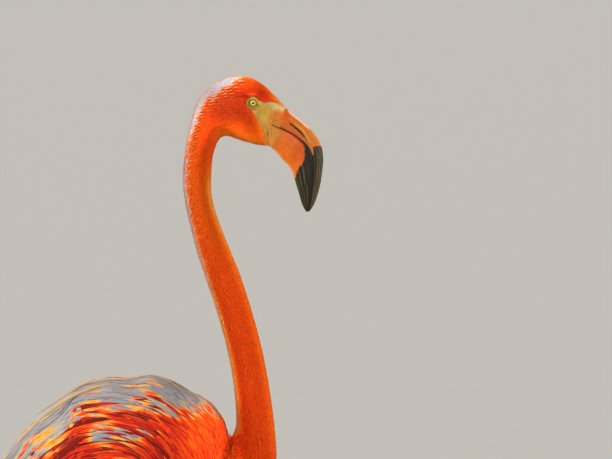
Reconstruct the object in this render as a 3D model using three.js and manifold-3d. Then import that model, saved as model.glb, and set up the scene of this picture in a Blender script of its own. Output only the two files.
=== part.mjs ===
// An adult American flamingo (Phoenicopterus ruber), life size, standing at ease on both feet, its neck in
// an S. Millimetres. X runs forward to the bill, Y to the bird's left, Z up from the floor. The surfaces are
// those of the coat: feathers lie inside them. The bird is cut into the parts that a person names, with a
// thin gap at each cut.
import * as THREE from "three";
import { mergeVertices } from "three/addons/utils/BufferGeometryUtils.js";
import Module from "manifold-3d";

const wasm = await Module();
wasm.setup();

// ---- driving dimensions ----
const crownHeight = 1170; // floor to the top of the head
const gap = 0.4; // between parts that touch
const bodyHalfWidth = 92; // trunk at its widest, without the wings
const wingHalfWidth = 103; // over both folded wings
const wingThickness = 13; // folded wing with its coverts
const eyeRadius = 7.6;
const eyeAt = { x: 59.6, drop: 30.1, y: 14.2 }; // centre of each eyeball
const thighEndHeight = 572; // where the feathering of the leg ends
const hockHeight = 345; // heel joint, halfway down the leg
const footTop = 24; // where the tarsus meets the toes
const legSpacing = 44; // each leg from the middle plane
const stride = 25; // each foot ahead of or behind the stance
const stanceX = -118; // middle of the two tarsi at the floor
const toeLength = 78; // middle toe without its claw
const clawLength = 8;
const toeSpread = 31; // degrees between neighbouring front toes
const webDepth = 2.4; // skin between the front toes, at the floor

// ---- facets round each kind of part ----
const neckSides = 16;
const trunkSides = 22;
const wingSides = 22;
const tailSides = 12;
const legSides = 10;
const billSides = 11;

// ---- outline stations, from the bill base to the inside of the chest ----
// Head: the crown side and the throat side as [forward, below the crown], and half the width.
const headStations = [
  { crown: [92.4, 30.2], throat: [76.2, 77.8], half: 14.5 },
  { crown: [80.6, 18.1], throat: [62.7, 76.0], half: 18.5 },
  { crown: [68.3, 7.2], throat: [49.3, 73.4], half: 21.8 },
  { crown: [53.8, 0.7], throat: [38.1, 70.1], half: 23.6 },
  { crown: [40.3, 0], throat: [29.7, 67.6], half: 23.8 },
  { crown: [24.6, 3.8], throat: [24.1, 69.0], half: 22.6 },
  { crown: [9.5, 13.0], throat: [21.1, 71.9], half: 20.6 },
  { crown: [-0.3, 22.6], throat: [19.0, 75.5], half: 19.2 },
  { crown: [-6.3, 35.3], throat: [17.5, 79.7], half: 18.0 },
  { crown: [-10.3, 49.3], throat: [16.1, 84.2], half: 17.2 },
  { crown: [-14.2, 65.0], throat: [14.6, 90.2], half: 16.4 },
];
// Neck: its middle line and half its depth from nape to throat. It is a little narrower than deep.
const neckStations = [
  { mid: [-3.1, 100.2], deep: 16.4 },
  { mid: [-3.5, 127.7], deep: 16.1 },
  { mid: [1.5, 154.6], deep: 16.1 },
  { mid: [11.9, 189.3], deep: 18.1 },
  { mid: [25.2, 225.1], deep: 19.5 },
  { mid: [38.1, 264.3], deep: 19.5 },
  { mid: [48.7, 303.5], deep: 19.7 },
  { mid: [56.0, 340.5], deep: 20.2 },
  { mid: [60.5, 376.3], deep: 21.2 },
  { mid: [62.3, 407.7], deep: 23.1 },
  { mid: [61.8, 434], deep: 25.0 },
  { mid: [57, 462], deep: 27.5 },
  { mid: [45, 486], deep: 31 },
  { mid: [25, 501], deep: 35 },
  { mid: [0, 506], deep: 39 },
  { mid: [-25, 506], deep: 42 },
];
const neckNarrowing = 0.95;
const headEnd = 10; // station that parts head from neck
const neckCuts = [headEnd, 13.5, 16.6, 19.5, 22.3, 26]; // stations that part the lengths of the neck

// Trunk, wings and tail: [forward, top below the crown, bottom below the crown, half the width].
const trunkStations = [
  [61, 448, 468, 7],
  [52, 428, 488, 26],
  [38, 401, 514, 46],
  [20, 377, 533, 66],
  [-10, 357, 549, 81],
  [-50, 346, 558, 90],
  [-95, 347, 558, bodyHalfWidth],
  [-140, 364, 548, 85],
  [-180, 397, 530, 70],
  [-215, 434, 510, 49],
  [-240, 464, 494, 28],
  [-250, 476, 485, 8],
];
// The wings cover the trunk on top and at the sides. Below wingEdge they are cut away and the flanks show.
const wingStations = [
  [31, 389, 523, 55],
  [18, 368, 541, 75],
  [0, 352.5, 555, 88],
  [-30, 340, 567, 98],
  [-62, 334.5, 571, 102],
  [-100, 336.5, 570, wingHalfWidth],
  [-135, 345, 567, 101],
  [-162, 362, 563, 95],
  [-187, 386, 561, 86],
  [-222, 429, 561, 71],
  [-255, 470, 560, 53],
  [-285, 507, 558, 35],
  [-305, 531, 553, 19],
  [-314, 541, 547, 6],
];
const wingEdge = [
  [40, 380], [27, 432], [-6, 480], [-56, 514], [-112, 537], [-172, 554], [-240, 566], [-330, 570],
];
const wingParting = 14; // half the open width between the wings under the rump
const tailStations = [
  [-222, 460, 484, 20],
  [-255, 490, 508, 26],
  [-290, 519, 531, 29],
  [-315, 538, 546, 26],
  [-330, 548, 552, 14],
];
// Black flight feathers along the hind edge of each wing: [forward, top, bottom, distance from the middle].
const flightStations = [
  [-150, 532, 552, 72],
  [-190, 533, 562, 61],
  [-230, 535, 568, 47],
  [-270, 541, 570, 33],
  [-305, 548, 567, 22],
  [-325, 554, 563, 17],
  [-337, 557.5, 560.5, 14],
];
const flightHalfThickness = 3.2;

// Bill: the culmen, the mouth line and the underside as [forward, below the crown], and half the widths.
const billStations = [
  { culmen: [92.4, 30.2], mouth: [84.3, 54.0], under: [76.2, 77.8], upperHalf: 14.3, lowerHalf: 14.5 },
  { culmen: [102.5, 41.5], mouth: [92.6, 59.5], under: [83.2, 81.2], upperHalf: 12.6, lowerHalf: 14.6 },
  { culmen: [112.3, 49.6], mouth: [102.7, 64.5], under: [89.0, 86.0], upperHalf: 11.4, lowerHalf: 15.0 },
  { culmen: [122.0, 58.2], mouth: [111.4, 71.0], under: [94.1, 92.6], upperHalf: 10.8, lowerHalf: 15.2 },
  { culmen: [129.9, 67.2], mouth: [118.5, 77.5], under: [98.9, 99.2], upperHalf: 10.8, lowerHalf: 15.0 },
  { culmen: [135.5, 77.8], mouth: [123.2, 84.6], under: [102.4, 105.6], upperHalf: 11.2, lowerHalf: 14.4 },
  { culmen: [137.9, 92.1], mouth: [125.7, 94.1], under: [105.1, 112.8], upperHalf: 11.6, lowerHalf: 13.8 },
  { culmen: [136.9, 106.4], mouth: [126.3, 106.4], under: [107.5, 121.2], upperHalf: 11.2, lowerHalf: 12.8 },
  { culmen: [134.4, 122.9], mouth: [125.7, 121.0], under: [110.9, 132.7], upperHalf: 9.8, lowerHalf: 10.8 },
  { culmen: [129.7, 139.3], mouth: [123.8, 136.4], under: [114.2, 143.7], upperHalf: 7.4, lowerHalf: 7.8 },
  { culmen: [125.0, 148.8], mouth: [122.0, 146.5], under: [117.2, 149.8], upperHalf: 4.6, lowerHalf: 4.8 },
  { culmen: [121.3, 153.0], mouth: [120.5, 152.2], under: [119.7, 153.0], upperHalf: 1.6, lowerHalf: 1.6 },
];

// ---- shapes from rings ----
const height = (drop) => crownHeight - drop;
const inPlane = ([x, drop]) => new THREE.Vector2(x, height(drop));
const radians = THREE.MathUtils.degToRad;

// A Catmull-Rom value at station t of a list of equally long arrays of numbers.
function between(rows, t) {
  const last = rows.length - 1;
  const i = Math.min(Math.floor(t), last - 1);
  const f = t - i;
  const row = (n) => rows[Math.min(Math.max(n, 0), last)];
  return rows[i].map((_, k) => {
    const [a, b, c, d] = [row(i - 1)[k], row(i)[k], row(i + 1)[k], row(i + 2)[k]];
    return b + 0.5 * f * (c - a + f * (2 * a - 5 * b + 4 * c - d + f * (3 * (b - c) + d - a)));
  });
}

// Closes a stack of rings, each an array of Vector3 that runs the same way round, into one geometry.
function loft(rings) {
  const sides = rings[0].length;
  const points = rings.flat();
  const faces = [];
  for (let r = 0; r + 1 < rings.length; r++) {
    for (let s = 0; s < sides; s++) {
      const next = (s + 1) % sides;
      const [a, b] = [r * sides + s, r * sides + next];
      const [c, d] = [a + sides, b + sides];
      faces.push(a, b, d, a, d, c);
    }
  }
  for (const [ring, start, flip] of [[rings[0], 0, true], [rings.at(-1), points.length - sides, false]]) {
    const centre = ring.reduce((sum, p) => sum.add(p), new THREE.Vector3()).divideScalar(sides);
    const hub = points.push(centre) - 1;
    for (let s = 0; s < sides; s++) {
      const [a, b] = [start + s, start + ((s + 1) % sides)];
      faces.push(...(flip ? [b, a, hub] : [a, b, hub]));
    }
  }
  return new THREE.BufferGeometry().setFromPoints(points).setIndex(faces);
}

// A geometry as a manifold-3d solid, turned face out if it was made inside out.
function solid(geometry) {
  const bare = geometry.clone();
  bare.deleteAttribute("normal");
  bare.deleteAttribute("uv");
  const merged = mergeVertices(bare, 1e-4);
  const vertProperties = merged.attributes.position.array;
  const triVerts = new Uint32Array(merged.index.array);
  const mesh = () => new wasm.Mesh({ numProp: 3, vertProperties, triVerts });
  const made = new wasm.Manifold(mesh());
  if (made.volume() > 0) return made;
  for (let i = 0; i < triVerts.length; i += 3) {
    [triVerts[i + 1], triVerts[i + 2]] = [triVerts[i + 2], triVerts[i + 1]];
  }
  return new wasm.Manifold(mesh());
}

// The largest body of a solid, as booleans can leave slivers beside it.
function largest(made) {
  return made.decompose().reduce((a, b) => (b.volume() > a.volume() ? b : a));
}

function toGeometry(made) {
  const { vertProperties, triVerts, numProp } = made.getMesh();
  const place = new Float32Array((vertProperties.length / numProp) * 3);
  for (let i = 0; i < place.length / 3; i++) {
    place.set(vertProperties.subarray(i * numProp, i * numProp + 3), i * 3);
  }
  return new THREE.BufferGeometry()
    .setAttribute("position", new THREE.BufferAttribute(place, 3))
    .setIndex(new THREE.BufferAttribute(triVerts, 1));
}

const blockAt = (x, y, z, lengthX, lengthY, lengthZ) =>
  solid(new THREE.BoxGeometry(lengthX, lengthY, lengthZ).translate(x, y, z));

// ---- head and neck: one long loft, cut into lengths ----
const headRows = headStations.map(({ crown, throat, half }) => {
  const [c, t] = [inPlane(crown), inPlane(throat)];
  return [c.x, c.y, t.x, t.y, half];
});
const napeMiddle = [0.2, 77.6]; // between crown and throat where the head ends
const neckRows = neckStations.map(({ mid, deep }, i) => {
  const here = inPlane(mid);
  const before = inPlane(neckStations[i - 1]?.mid ?? napeMiddle);
  const after = inPlane(neckStations[i + 1]?.mid ?? mid);
  const along = after.sub(before).normalize();
  const out = new THREE.Vector2(along.y, -along.x).multiplyScalar(deep);
  return [here.x + out.x, here.y + out.y, here.x - out.x, here.y - out.y, deep * neckNarrowing];
});
const spineRows = [...headRows, ...neckRows];

// The ring of head or neck at station t, grown outward and pushed along the spine.
function spineRing(t, grow = 0, push = 0) {
  const [crownX, crownZ, throatX, throatZ, half] = between(spineRows, t);
  const middle = new THREE.Vector3((crownX + throatX) / 2, 0, (crownZ + throatZ) / 2);
  const up = new THREE.Vector3(crownX - middle.x, 0, crownZ - middle.z);
  const deep = up.length() + grow;
  up.normalize();
  const onward = new THREE.Vector3(up.z, 0, -up.x).negate();
  middle.addScaledVector(onward, push);
  return Array.from({ length: neckSides }, (_, s) => {
    const angle = (s / neckSides) * 2 * Math.PI;
    return middle.clone()
      .addScaledVector(up, Math.cos(angle) * deep)
      .add(new THREE.Vector3(0, Math.sin(angle) * (half + grow), 0));
  });
}

function spineLength(from, to, { grow = 0, pushEnds = gap / 2 } = {}) {
  const count = Math.max(2, Math.round((to - from) * 2));
  const rings = Array.from({ length: count + 1 }, (_, i) => {
    const push = i === 0 ? pushEnds : i === count ? -pushEnds : 0;
    return spineRing(from + ((to - from) * i) / count, grow, push);
  });
  return solid(loft(rings));
}

// ---- trunk, wings, tail: superellipse rings square to X ----
const thinnest = 0.6; // a shrunken ring never turns inside out
function hull(stations, { grow = 0, power = 2.15, sides = trunkSides } = {}) {
  const rings = stations.map(([x, top, bottom, half], i) => {
    const push = i === 0 ? grow : i === stations.length - 1 ? -grow : 0;
    const tall = Math.max((bottom - top) / 2 + grow, thinnest);
    const wide = Math.max(half + grow, thinnest);
    return Array.from({ length: sides }, (_, s) => {
      const angle = (s / sides) * 2 * Math.PI;
      const [c, n] = [Math.cos(angle), Math.sin(angle)];
      return new THREE.Vector3(
        x + push,
        Math.sign(n) * Math.abs(n) ** (2 / power) * wide,
        height((top + bottom) / 2) + Math.sign(c) * Math.abs(c) ** (2 / power) * tall,
      );
    });
  });
  return solid(loft(rings));
}

const trunk = hull(trunkStations);
const trunkRoom = hull(trunkStations, { grow: gap });
const neckEnd = spineRows.length - 1;
const neckRoom = spineLength(neckCuts.at(-2) - 1, neckEnd, { grow: gap, pushEnds: 0 });

// ---- eyes in their sockets ----
const eyeBall = (side, grow = 0) =>
  solid(new THREE.SphereGeometry(eyeRadius + grow, 12, 8)
    .rotateX(Math.PI / 2)
    .translate(eyeAt.x, side * eyeAt.y, height(eyeAt.drop)));

// ---- bill ----
function billRing(t, part, push = 0) {
  const rows = billStations.map(({ culmen, mouth, under, upperHalf, lowerHalf }) => {
    const edge = inPlane(part === "upper" ? culmen : under);
    const line = inPlane(mouth);
    return [edge.x, edge.y, line.x, line.y, part === "upper" ? upperHalf : lowerHalf];
  });
  const [edgeX, edgeZ, mouthX, mouthZ, half] = between(rows, t);
  const out = new THREE.Vector3(edgeX - mouthX, 0, edgeZ - mouthZ);
  const deep = out.length() - gap / 2;
  out.normalize();
  const base = new THREE.Vector3(mouthX, 0, mouthZ).addScaledVector(out, gap / 2);
  const plane = new THREE.Vector3(-out.z, 0, out.x);
  const forward = part === "upper" ? plane.negate() : plane;
  base.addScaledVector(forward, push);
  const rounding = part === "upper" ? 0.85 : 0.7;
  return Array.from({ length: billSides }, (_, s) => {
    const angle = (s / (billSides - 1) - 0.5) * Math.PI;
    const lift = Math.cos(angle) ** (s === 0 || s === billSides - 1 ? 1 : rounding);
    return base.clone()
      .addScaledVector(out, deep * Math.max(lift, 0))
      .add(new THREE.Vector3(0, Math.sin(angle) * half, 0));
  });
}
function billPart(part) {
  const last = billStations.length - 1;
  const steps = 2;
  const rings = Array.from({ length: last * steps + 1 }, (_, i) =>
    billRing(i / steps, part, i === 0 ? gap : 0));
  return solid(loft(rings));
}

// ---- wings ----
const wingShell = (() => {
  const shape = { power: 2.3, sides: wingSides };
  const above = new THREE.Shape(); // the side view of all that lies above the lower edge of the wings
  above.moveTo(wingEdge[0][0], crownHeight);
  above.lineTo(...inPlane(wingEdge[0]).toArray());
  above.splineThru(wingEdge.slice(1).map(inPlane));
  above.lineTo(wingEdge.at(-1)[0], crownHeight);
  const depth = 4 * wingHalfWidth;
  const sideView = solid(new THREE.ExtrudeGeometry(above, { depth, bevelEnabled: false, curveSegments: 3 })
    .rotateX(Math.PI / 2)
    .translate(0, depth / 2, 0));
  const parting = blockAt(-230, 0, height(560), 200, 2 * wingParting, 120);
  return hull(wingStations, shape)
    .intersect(sideView)
    .subtract(hull(wingStations, { ...shape, grow: -wingThickness }))
    .subtract(parting);
})();
const tailShape = { power: 2.4, sides: tailSides };
const tail = hull(tailStations, tailShape);
const tailRoom = hull(tailStations, { ...tailShape, grow: gap });

function flightBlade(side, grow = 0) {
  const sides = 10;
  const rings = flightStations.map(([x, top, bottom, out], i) => {
    const tall = (bottom - top) / 2 + grow;
    return Array.from({ length: sides }, (_, s) => {
      const angle = (s / sides) * 2 * Math.PI;
      return new THREE.Vector3(
        x + (i === 0 ? grow : 0),
        side * out + Math.sin(angle) * (flightHalfThickness + grow),
        height((top + bottom) / 2) + Math.cos(angle) * tall,
      );
    });
  });
  return solid(loft(rings));
}

function wing(side, thighRoom) {
  const wide = 300;
  const half = blockAt(-150, (side * (wide + gap)) / 2, height(450), 500, wide, 400);
  return largest(
    wingShell.intersect(half).subtract(trunkRoom).subtract(neckRoom).subtract(tailRoom)
      .subtract(flightBlade(side, gap)).subtract(thighRoom),
  );
}

// ---- legs ----
// Rings square to Z along a leg: [height, forward, half length along X, half width along Y].
function limb(stations, y, grow = 0) {
  const steps = 2;
  const count = (stations.length - 1) * steps;
  const rings = Array.from({ length: count + 1 }, (_, i) => {
    const [z, x, long, wide] = between(stations, i / steps);
    return Array.from({ length: legSides }, (_, s) => {
      const angle = (s / legSides) * 2 * Math.PI;
      return new THREE.Vector3(x + Math.cos(angle) * (long + grow), y + Math.sin(angle) * (wide + grow), z);
    });
  });
  return solid(loft(rings));
}

function leg(side) {
  const ahead = side < 0 ? stride : -stride;
  const y = side * legSpacing;
  const footX = stanceX + ahead;
  const hockX = footX - 9 + ahead * 0.04;
  const thighX = -93 + ahead * 0.36;
  const along = (z) => THREE.MathUtils.lerp(hockX, thighX, (z - hockHeight) / (thighEndHeight - hockHeight));
  const hipX = along(640);
  const thighStations = [
    [645, hipX + 2, 40, 27],
    [625, along(625), 34, 25],
    [604, along(604), 25, 19],
    [586, along(586), 16, 13],
    [thighEndHeight, along(thighEndHeight), 9.5, 8.5],
  ];
  const thigh = limb(thighStations, y).subtract(trunkRoom);
  const thighRoom = limb(thighStations, y, gap);
  const shank = limb([
    [thighEndHeight - gap, along(thighEndHeight), 6.6, 5.6],
    [520, along(520), 5.8, 4.8],
    [430, along(430), 5.6, 4.6],
    [hockHeight + 28 + gap, along(hockHeight + 28), 6.6, 5.8],
  ], y);
  const hock = limb([
    [hockHeight + 28, along(hockHeight + 28), 6.8, 6],
    [hockHeight + 14, along(hockHeight + 14), 9.8, 8.6],
    [hockHeight, hockX, 11.6, 10],
    [hockHeight - 14, hockX + 0.6, 10, 8.8],
    [hockHeight - 30, hockX + 1, 7, 6],
  ], y);
  const tarsus = limb([
    [hockHeight - 30 - gap, hockX + 1, 6.9, 5.9],
    [hockHeight - 80, hockX + 3, 5.9, 4.8],
    [180, (hockX + footX) / 2, 5.7, 4.5],
    [80, footX - 1, 5.9, 4.7],
    [footTop + 12, footX, 6.8, 5.8],
    [footTop + gap, footX, 7.6, 6.8],
  ], y);
  return { thigh, thighRoom, shank, hock, tarsus, foot: foot(footX, y) };
}

// One toe lying on the floor: knuckles swell it, and a claw ends it.
function toe(length, heading) {
  const knuckles = 3;
  const count = 8;
  const sides = 6;
  const total = length + clawLength;
  const rings = Array.from({ length: count + 1 }, (_, i) => {
    const along = (i / count) * total;
    const share = Math.min(along / length, 1);
    const swell = 0.6 * Math.cos(share * knuckles * 2 * Math.PI);
    const claw = THREE.MathUtils.clamp((along - length) / clawLength, 0, 1);
    const wide = THREE.MathUtils.lerp(5.4, 3.6, share) + swell * (1 - claw) - claw * 3.2;
    const tall = THREE.MathUtils.lerp(9, 5.4, share) + swell * (1 - claw) - claw * 4.4;
    return Array.from({ length: sides + 1 }, (_, s) => {
      const angle = (s / sides) * Math.PI;
      return new THREE.Vector3(along, Math.cos(angle) * wide, Math.sin(angle) * tall);
    });
  });
  return solid(loft(rings).rotateZ(radians(heading)));
}

function foot(x, y) {
  const sideLength = toeLength * 0.88;
  const headings = [-toeSpread, 0, toeSpread];
  const tip = (long, heading) =>
    new THREE.Vector2(Math.cos(radians(heading)) * long, Math.sin(radians(heading)) * long);
  const outline = new THREE.Shape();
  outline.moveTo(0, 0);
  const [right, middle, left] = headings.map((h) => tip((h ? sideLength : toeLength) * 0.93, h));
  const [rightBay, leftBay] = [-toeSpread / 2, toeSpread / 2].map((h) => tip(toeLength * 0.7, h));
  outline.lineTo(right.x, right.y);
  outline.quadraticCurveTo(rightBay.x, rightBay.y, middle.x, middle.y);
  outline.quadraticCurveTo(leftBay.x, leftBay.y, left.x, left.y);
  outline.lineTo(0, 0);
  const web = solid(
    new THREE.ExtrudeGeometry(outline, { depth: webDepth, bevelEnabled: false, curveSegments: 6 }),
  );
  const pad = solid(new THREE.CylinderGeometry(7.6, 9, footTop, 12)
    .rotateX(Math.PI / 2)
    .translate(0, 0, footTop / 2));
  const hindToe = solid(new THREE.CylinderGeometry(2.2, 3.6, 20, 6)
    .rotateZ(radians(118))
    .translate(-13, 0, 13));
  let joined = pad.add(web).add(hindToe);
  for (const heading of headings) {
    joined = joined.add(toe(heading ? sideLength : toeLength, heading));
  }
  const below = blockAt(0, 0, -50, 400, 400, 100);
  return joined.subtract(below).translate([x, y, 0]);
}

// ---- colours ----
const finish = (color, roughness) => new THREE.MeshStandardMaterial({ color, roughness, metalness: 0 });
const plumage = finish(0xe2501c, 0.8);
const plumagePale = finish(0xe88a5c, 0.8);
const flightBlack = finish(0x1d1918, 0.6);
const billOrange = finish(0xe07a3c, 0.45);
const eyeYellow = finish(0xe4cf6a, 0.1);
const legPink = finish(0xd9897f, 0.6);

// ---- assembly ----
const bird = new THREE.Group();
function add(name, made, material) {
  const mesh = new THREE.Mesh(toGeometry(made), material);
  mesh.name = name;
  bird.add(mesh);
}

add("head", largest(spineLength(0, headEnd).subtract(eyeBall(1, gap)).subtract(eyeBall(-1, gap))), plumage);
for (let i = 0; i + 1 < neckCuts.length; i++) {
  add(`neck_${i + 1}`, largest(spineLength(neckCuts[i], neckCuts[i + 1]).subtract(trunkRoom)), plumage);
}
add("bill_upper", billPart("upper"), billOrange);
add("bill_lower", billPart("lower"), billOrange);
add("trunk", trunk, plumage);
add("tail", largest(tail.subtract(trunkRoom)), plumagePale);
for (const [name, side] of [["right", -1], ["left", 1]]) {
  const parts = leg(side);
  add(`eye_${name}`, eyeBall(side), eyeYellow);
  add(`wing_${name}`, wing(side, parts.thighRoom), plumagePale);
  add(`flight_${name}`, largest(flightBlade(side).subtract(trunkRoom)), flightBlack);
  add(`thigh_${name}`, largest(parts.thigh), plumage);
  add(`shank_${name}`, parts.shank, legPink);
  add(`hock_${name}`, parts.hock, legPink);
  add(`tarsus_${name}`, parts.tarsus, legPink);
  add(`foot_${name}`, parts.foot, legPink);
}

// The origin is on the floor under the middle of the bird's length.
const box = new THREE.Box3().setFromObject(bird);
bird.position.x = -(box.min.x + box.max.x) / 2;
const group = new THREE.Group().add(bird);

export default group;
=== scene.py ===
import heapq
import math

import bmesh
import bpy
import numpy as np
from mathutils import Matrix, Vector
from mathutils.bvhtree import BVHTree


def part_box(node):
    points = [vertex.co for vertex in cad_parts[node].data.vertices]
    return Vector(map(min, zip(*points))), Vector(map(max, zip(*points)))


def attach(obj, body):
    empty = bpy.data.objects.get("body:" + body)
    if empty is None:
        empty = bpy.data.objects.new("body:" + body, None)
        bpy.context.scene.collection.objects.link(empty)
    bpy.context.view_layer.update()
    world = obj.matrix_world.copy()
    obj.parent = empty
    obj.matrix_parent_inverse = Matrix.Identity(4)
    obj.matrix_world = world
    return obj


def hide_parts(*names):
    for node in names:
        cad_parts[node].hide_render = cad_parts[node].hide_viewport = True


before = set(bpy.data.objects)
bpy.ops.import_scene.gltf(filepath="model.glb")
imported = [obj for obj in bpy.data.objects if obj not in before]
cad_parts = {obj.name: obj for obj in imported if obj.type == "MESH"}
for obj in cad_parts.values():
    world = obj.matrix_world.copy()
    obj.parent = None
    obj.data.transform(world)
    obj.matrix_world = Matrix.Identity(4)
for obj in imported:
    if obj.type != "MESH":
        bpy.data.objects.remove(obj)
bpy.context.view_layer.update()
print("frame loaded:", len(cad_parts), "nodes")

# measures shared by all pieces
# The bird is laid out in millimetres: x forward, y to its left, drop below the crown. The frame is in metres.
crownHeight = 1170.0
eyeSpot = {"x": 59.6, "drop": 30.1, "y": 14.2, "radius": 7.6}
eyeLow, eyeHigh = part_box("eye_right")
shift = (eyeLow.x + eyeHigh.x) * 500 - eyeSpot["x"]


def spot(x, drop, y=0.0):
    return Vector(((x + shift) / 1000, y / 1000, (crownHeight - drop) / 1000))


def toBird(points):  # frame metres to bird millimetres, an array of x, y, drop
    mm = np.asarray(points, float) * 1000
    return np.stack([mm[..., 0] - shift, mm[..., 1], crownHeight - mm[..., 2]], -1)


def smooth(low, high, value):  # 0 below low, 1 above high, with soft ends
    t = np.clip((np.asarray(value, float) - low) / (high - low), 0, 1)
    return t * t * (3 - 2 * t)


def near(x, drop, atX, atDrop, long, high):  # 1 at a place in the side view, fading out round it
    return np.exp(-((x - atX) / long) ** 2 - ((drop - atDrop) / high) ** 2)


def readOff(value, pairs):  # straight lines through pairs of a place and what holds there
    return np.interp(value, *zip(*pairs))


def splineAt(rows, t):  # Catmull-Rom value at station t of a list of equally long rows
    last = len(rows) - 1
    i = min(int(t), last - 1)
    f = t - i
    a, b, c, d = (np.array(rows[min(max(n, 0), last)], float) for n in (i - 1, i, i + 1, i + 2))
    return b + 0.5 * f * (c - a + f * (2 * a - 5 * b + 4 * c - d + f * (3 * (b - c) + d - a)))


def toLinear(hexText):
    parts = [int(hexText[i:i + 2], 16) / 255 for i in (1, 3, 5)]
    return tuple(c / 12.92 if c <= 0.04045 else ((c + 0.055) / 1.055) ** 2.4 for c in parts) + (1.0,)


def addNode(tree, kind, values=None, links=None, **settings):
    made = tree.nodes.new("ShaderNode" + kind)
    for name, value in settings.items():
        setattr(made, name, value)
    for socket, value in (values or {}).items():
        made.inputs[socket].default_value = value
    for socket, source in (links or {}).items():
        tree.links.new(source, made.inputs[socket])
    return made


def newMaterial(name):
    made = bpy.data.materials.new(name)
    made.use_nodes = True
    made.node_tree.nodes.clear()
    return made, made.node_tree


def addObject(name, mesh, material, slot=None, stands=()):
    made = bpy.data.objects.new(name, mesh)
    bpy.context.scene.collection.objects.link(made)
    mesh.materials.append(material)
    for face in mesh.polygons:
        face.use_smooth = True
    if slot:
        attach(made, "root")
    if stands:
        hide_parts(*stands)
    return made


def setAttribute(mesh, name, kind, key, values):
    layer = mesh.attributes.new(name, kind, "POINT")
    layer.data.foreach_set(key, np.asarray(values).astype(np.float32).ravel())


def setFloats(mesh, name, values):
    setAttribute(mesh, name, "FLOAT", "value", values)


def setColours(mesh, name, colours):
    setAttribute(mesh, name, "FLOAT_COLOR", "color", np.concatenate([colours, np.ones((len(colours), 1))], 1))


# A tube or shell: a grid of rings by sides, each vertex put where place(u, v) says, and closed.
def sleeve(rings, sides, place):
    bm = bmesh.new()
    bmesh.ops.create_grid(bm, x_segments=rings, y_segments=sides, size=0.5)
    station = bm.verts.layers.float.new("station")
    around = bm.verts.layers.float.new("around")
    for vertex in bm.verts:
        u, v = vertex.co.x + 0.5, vertex.co.y + 0.5
        vertex[station], vertex[around] = u, v
        vertex.co = place(u, v)
    bmesh.ops.remove_doubles(bm, verts=bm.verts, dist=2e-6)
    bmesh.ops.holes_fill(bm, edges=bm.edges, sides=0)
    bmesh.ops.recalc_face_normals(bm, faces=bm.faces)
    return bm


def finishMesh(bm, name):
    mesh = bpy.data.meshes.new(name)
    bm.to_mesh(mesh)
    bm.free()
    return mesh


# camera, lights and floor
view = {"azimuth": 0.5, "elevation": 2.8, "lens": 300.0, "sensor": 36.0, "frameWidth": 612,
        "frameHeight": 459, "mmPerPixel": 1.12, "eyePixel": (253.2, 102.9), "scaleDepth": -10}


def makeCamera():
    a, e = math.radians(view["azimuth"]), math.radians(view["elevation"])
    back = Vector((math.sin(a) * math.cos(e), -math.cos(a) * math.cos(e), math.sin(e)))
    right = Vector((math.cos(a), math.sin(a), 0))
    up = right.cross(-back).normalized()
    width = view["frameWidth"] * view["mmPerPixel"] / 1000
    distance = width * view["lens"] / view["sensor"]
    acrossMm = (view["frameWidth"] / 2 - view["eyePixel"][0]) * view["mmPerPixel"]
    downMm = (view["frameHeight"] / 2 - view["eyePixel"][1]) * view["mmPerPixel"]
    eye = spot(eyeSpot["x"], eyeSpot["drop"], view["scaleDepth"])
    aim = eye + right * acrossMm / 1000 - up * downMm / 1000
    camera = bpy.data.cameras.new("camera")
    camera.lens, camera.sensor_width = view["lens"], view["sensor"]
    camera.clip_start, camera.clip_end = 0.1, 2000
    made = bpy.data.objects.new("camera", camera)
    made.location = aim + back * distance
    made.rotation_mode = "QUATERNION"
    made.rotation_quaternion = (-back).to_track_quat("-Z", "Y")
    bpy.context.scene.collection.objects.link(made)
    bpy.context.scene.camera = made


studio = {"air": 0.50, "floor": ("#929495", "#989a9b"),
          "lamps": [("key_high", (-0.30, -0.05, 1.0), 2.5, 12, "#fff4e4"),
                    ("fill_right", (-0.20, -1.0, 0.10), 0.98, 10, "#ffffff"),
                    ("rim_behind", (-1.0, -0.16, 0.30), 4.6, 16, "#fff4e6"),
                    ("rim_ahead", (1.0, -0.20, 0.18), 2.4, 20, "#fff0dd")],
          "under": ((0.55, -0.75, 0.42), (0.14, 0.0, 1.06), 2.8, 0.7, "#fff1e2"), "floorRadius": 400}


def addLamp(name, direction, strength, spread, colour):  # distant lamps, so that near and far floor are alike
    lamp = bpy.data.lights.new(name, "SUN")
    lamp.energy, lamp.angle, lamp.color = strength, math.radians(spread), toLinear(colour)[:3]
    made = bpy.data.objects.new(name, lamp)
    made.location = Vector(direction) * 4
    made.rotation_mode = "QUATERNION"
    made.rotation_quaternion = (-Vector(direction)).to_track_quat("-Z", "Y")
    bpy.context.scene.collection.objects.link(made)


def addUnderLamp(place, aim, power, size, colour):  # a soft panel near the floor that faces up
    lamp = bpy.data.lights.new("under_soft", "AREA")
    lamp.energy, lamp.size, lamp.color = power, size, toLinear(colour)[:3]
    made = bpy.data.objects.new("under_soft", lamp)
    made.location = place
    made.rotation_mode = "QUATERNION"
    made.rotation_quaternion = (Vector(aim) - Vector(place)).to_track_quat("-Z", "Y")
    made.visible_camera = False
    bpy.context.scene.collection.objects.link(made)


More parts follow.
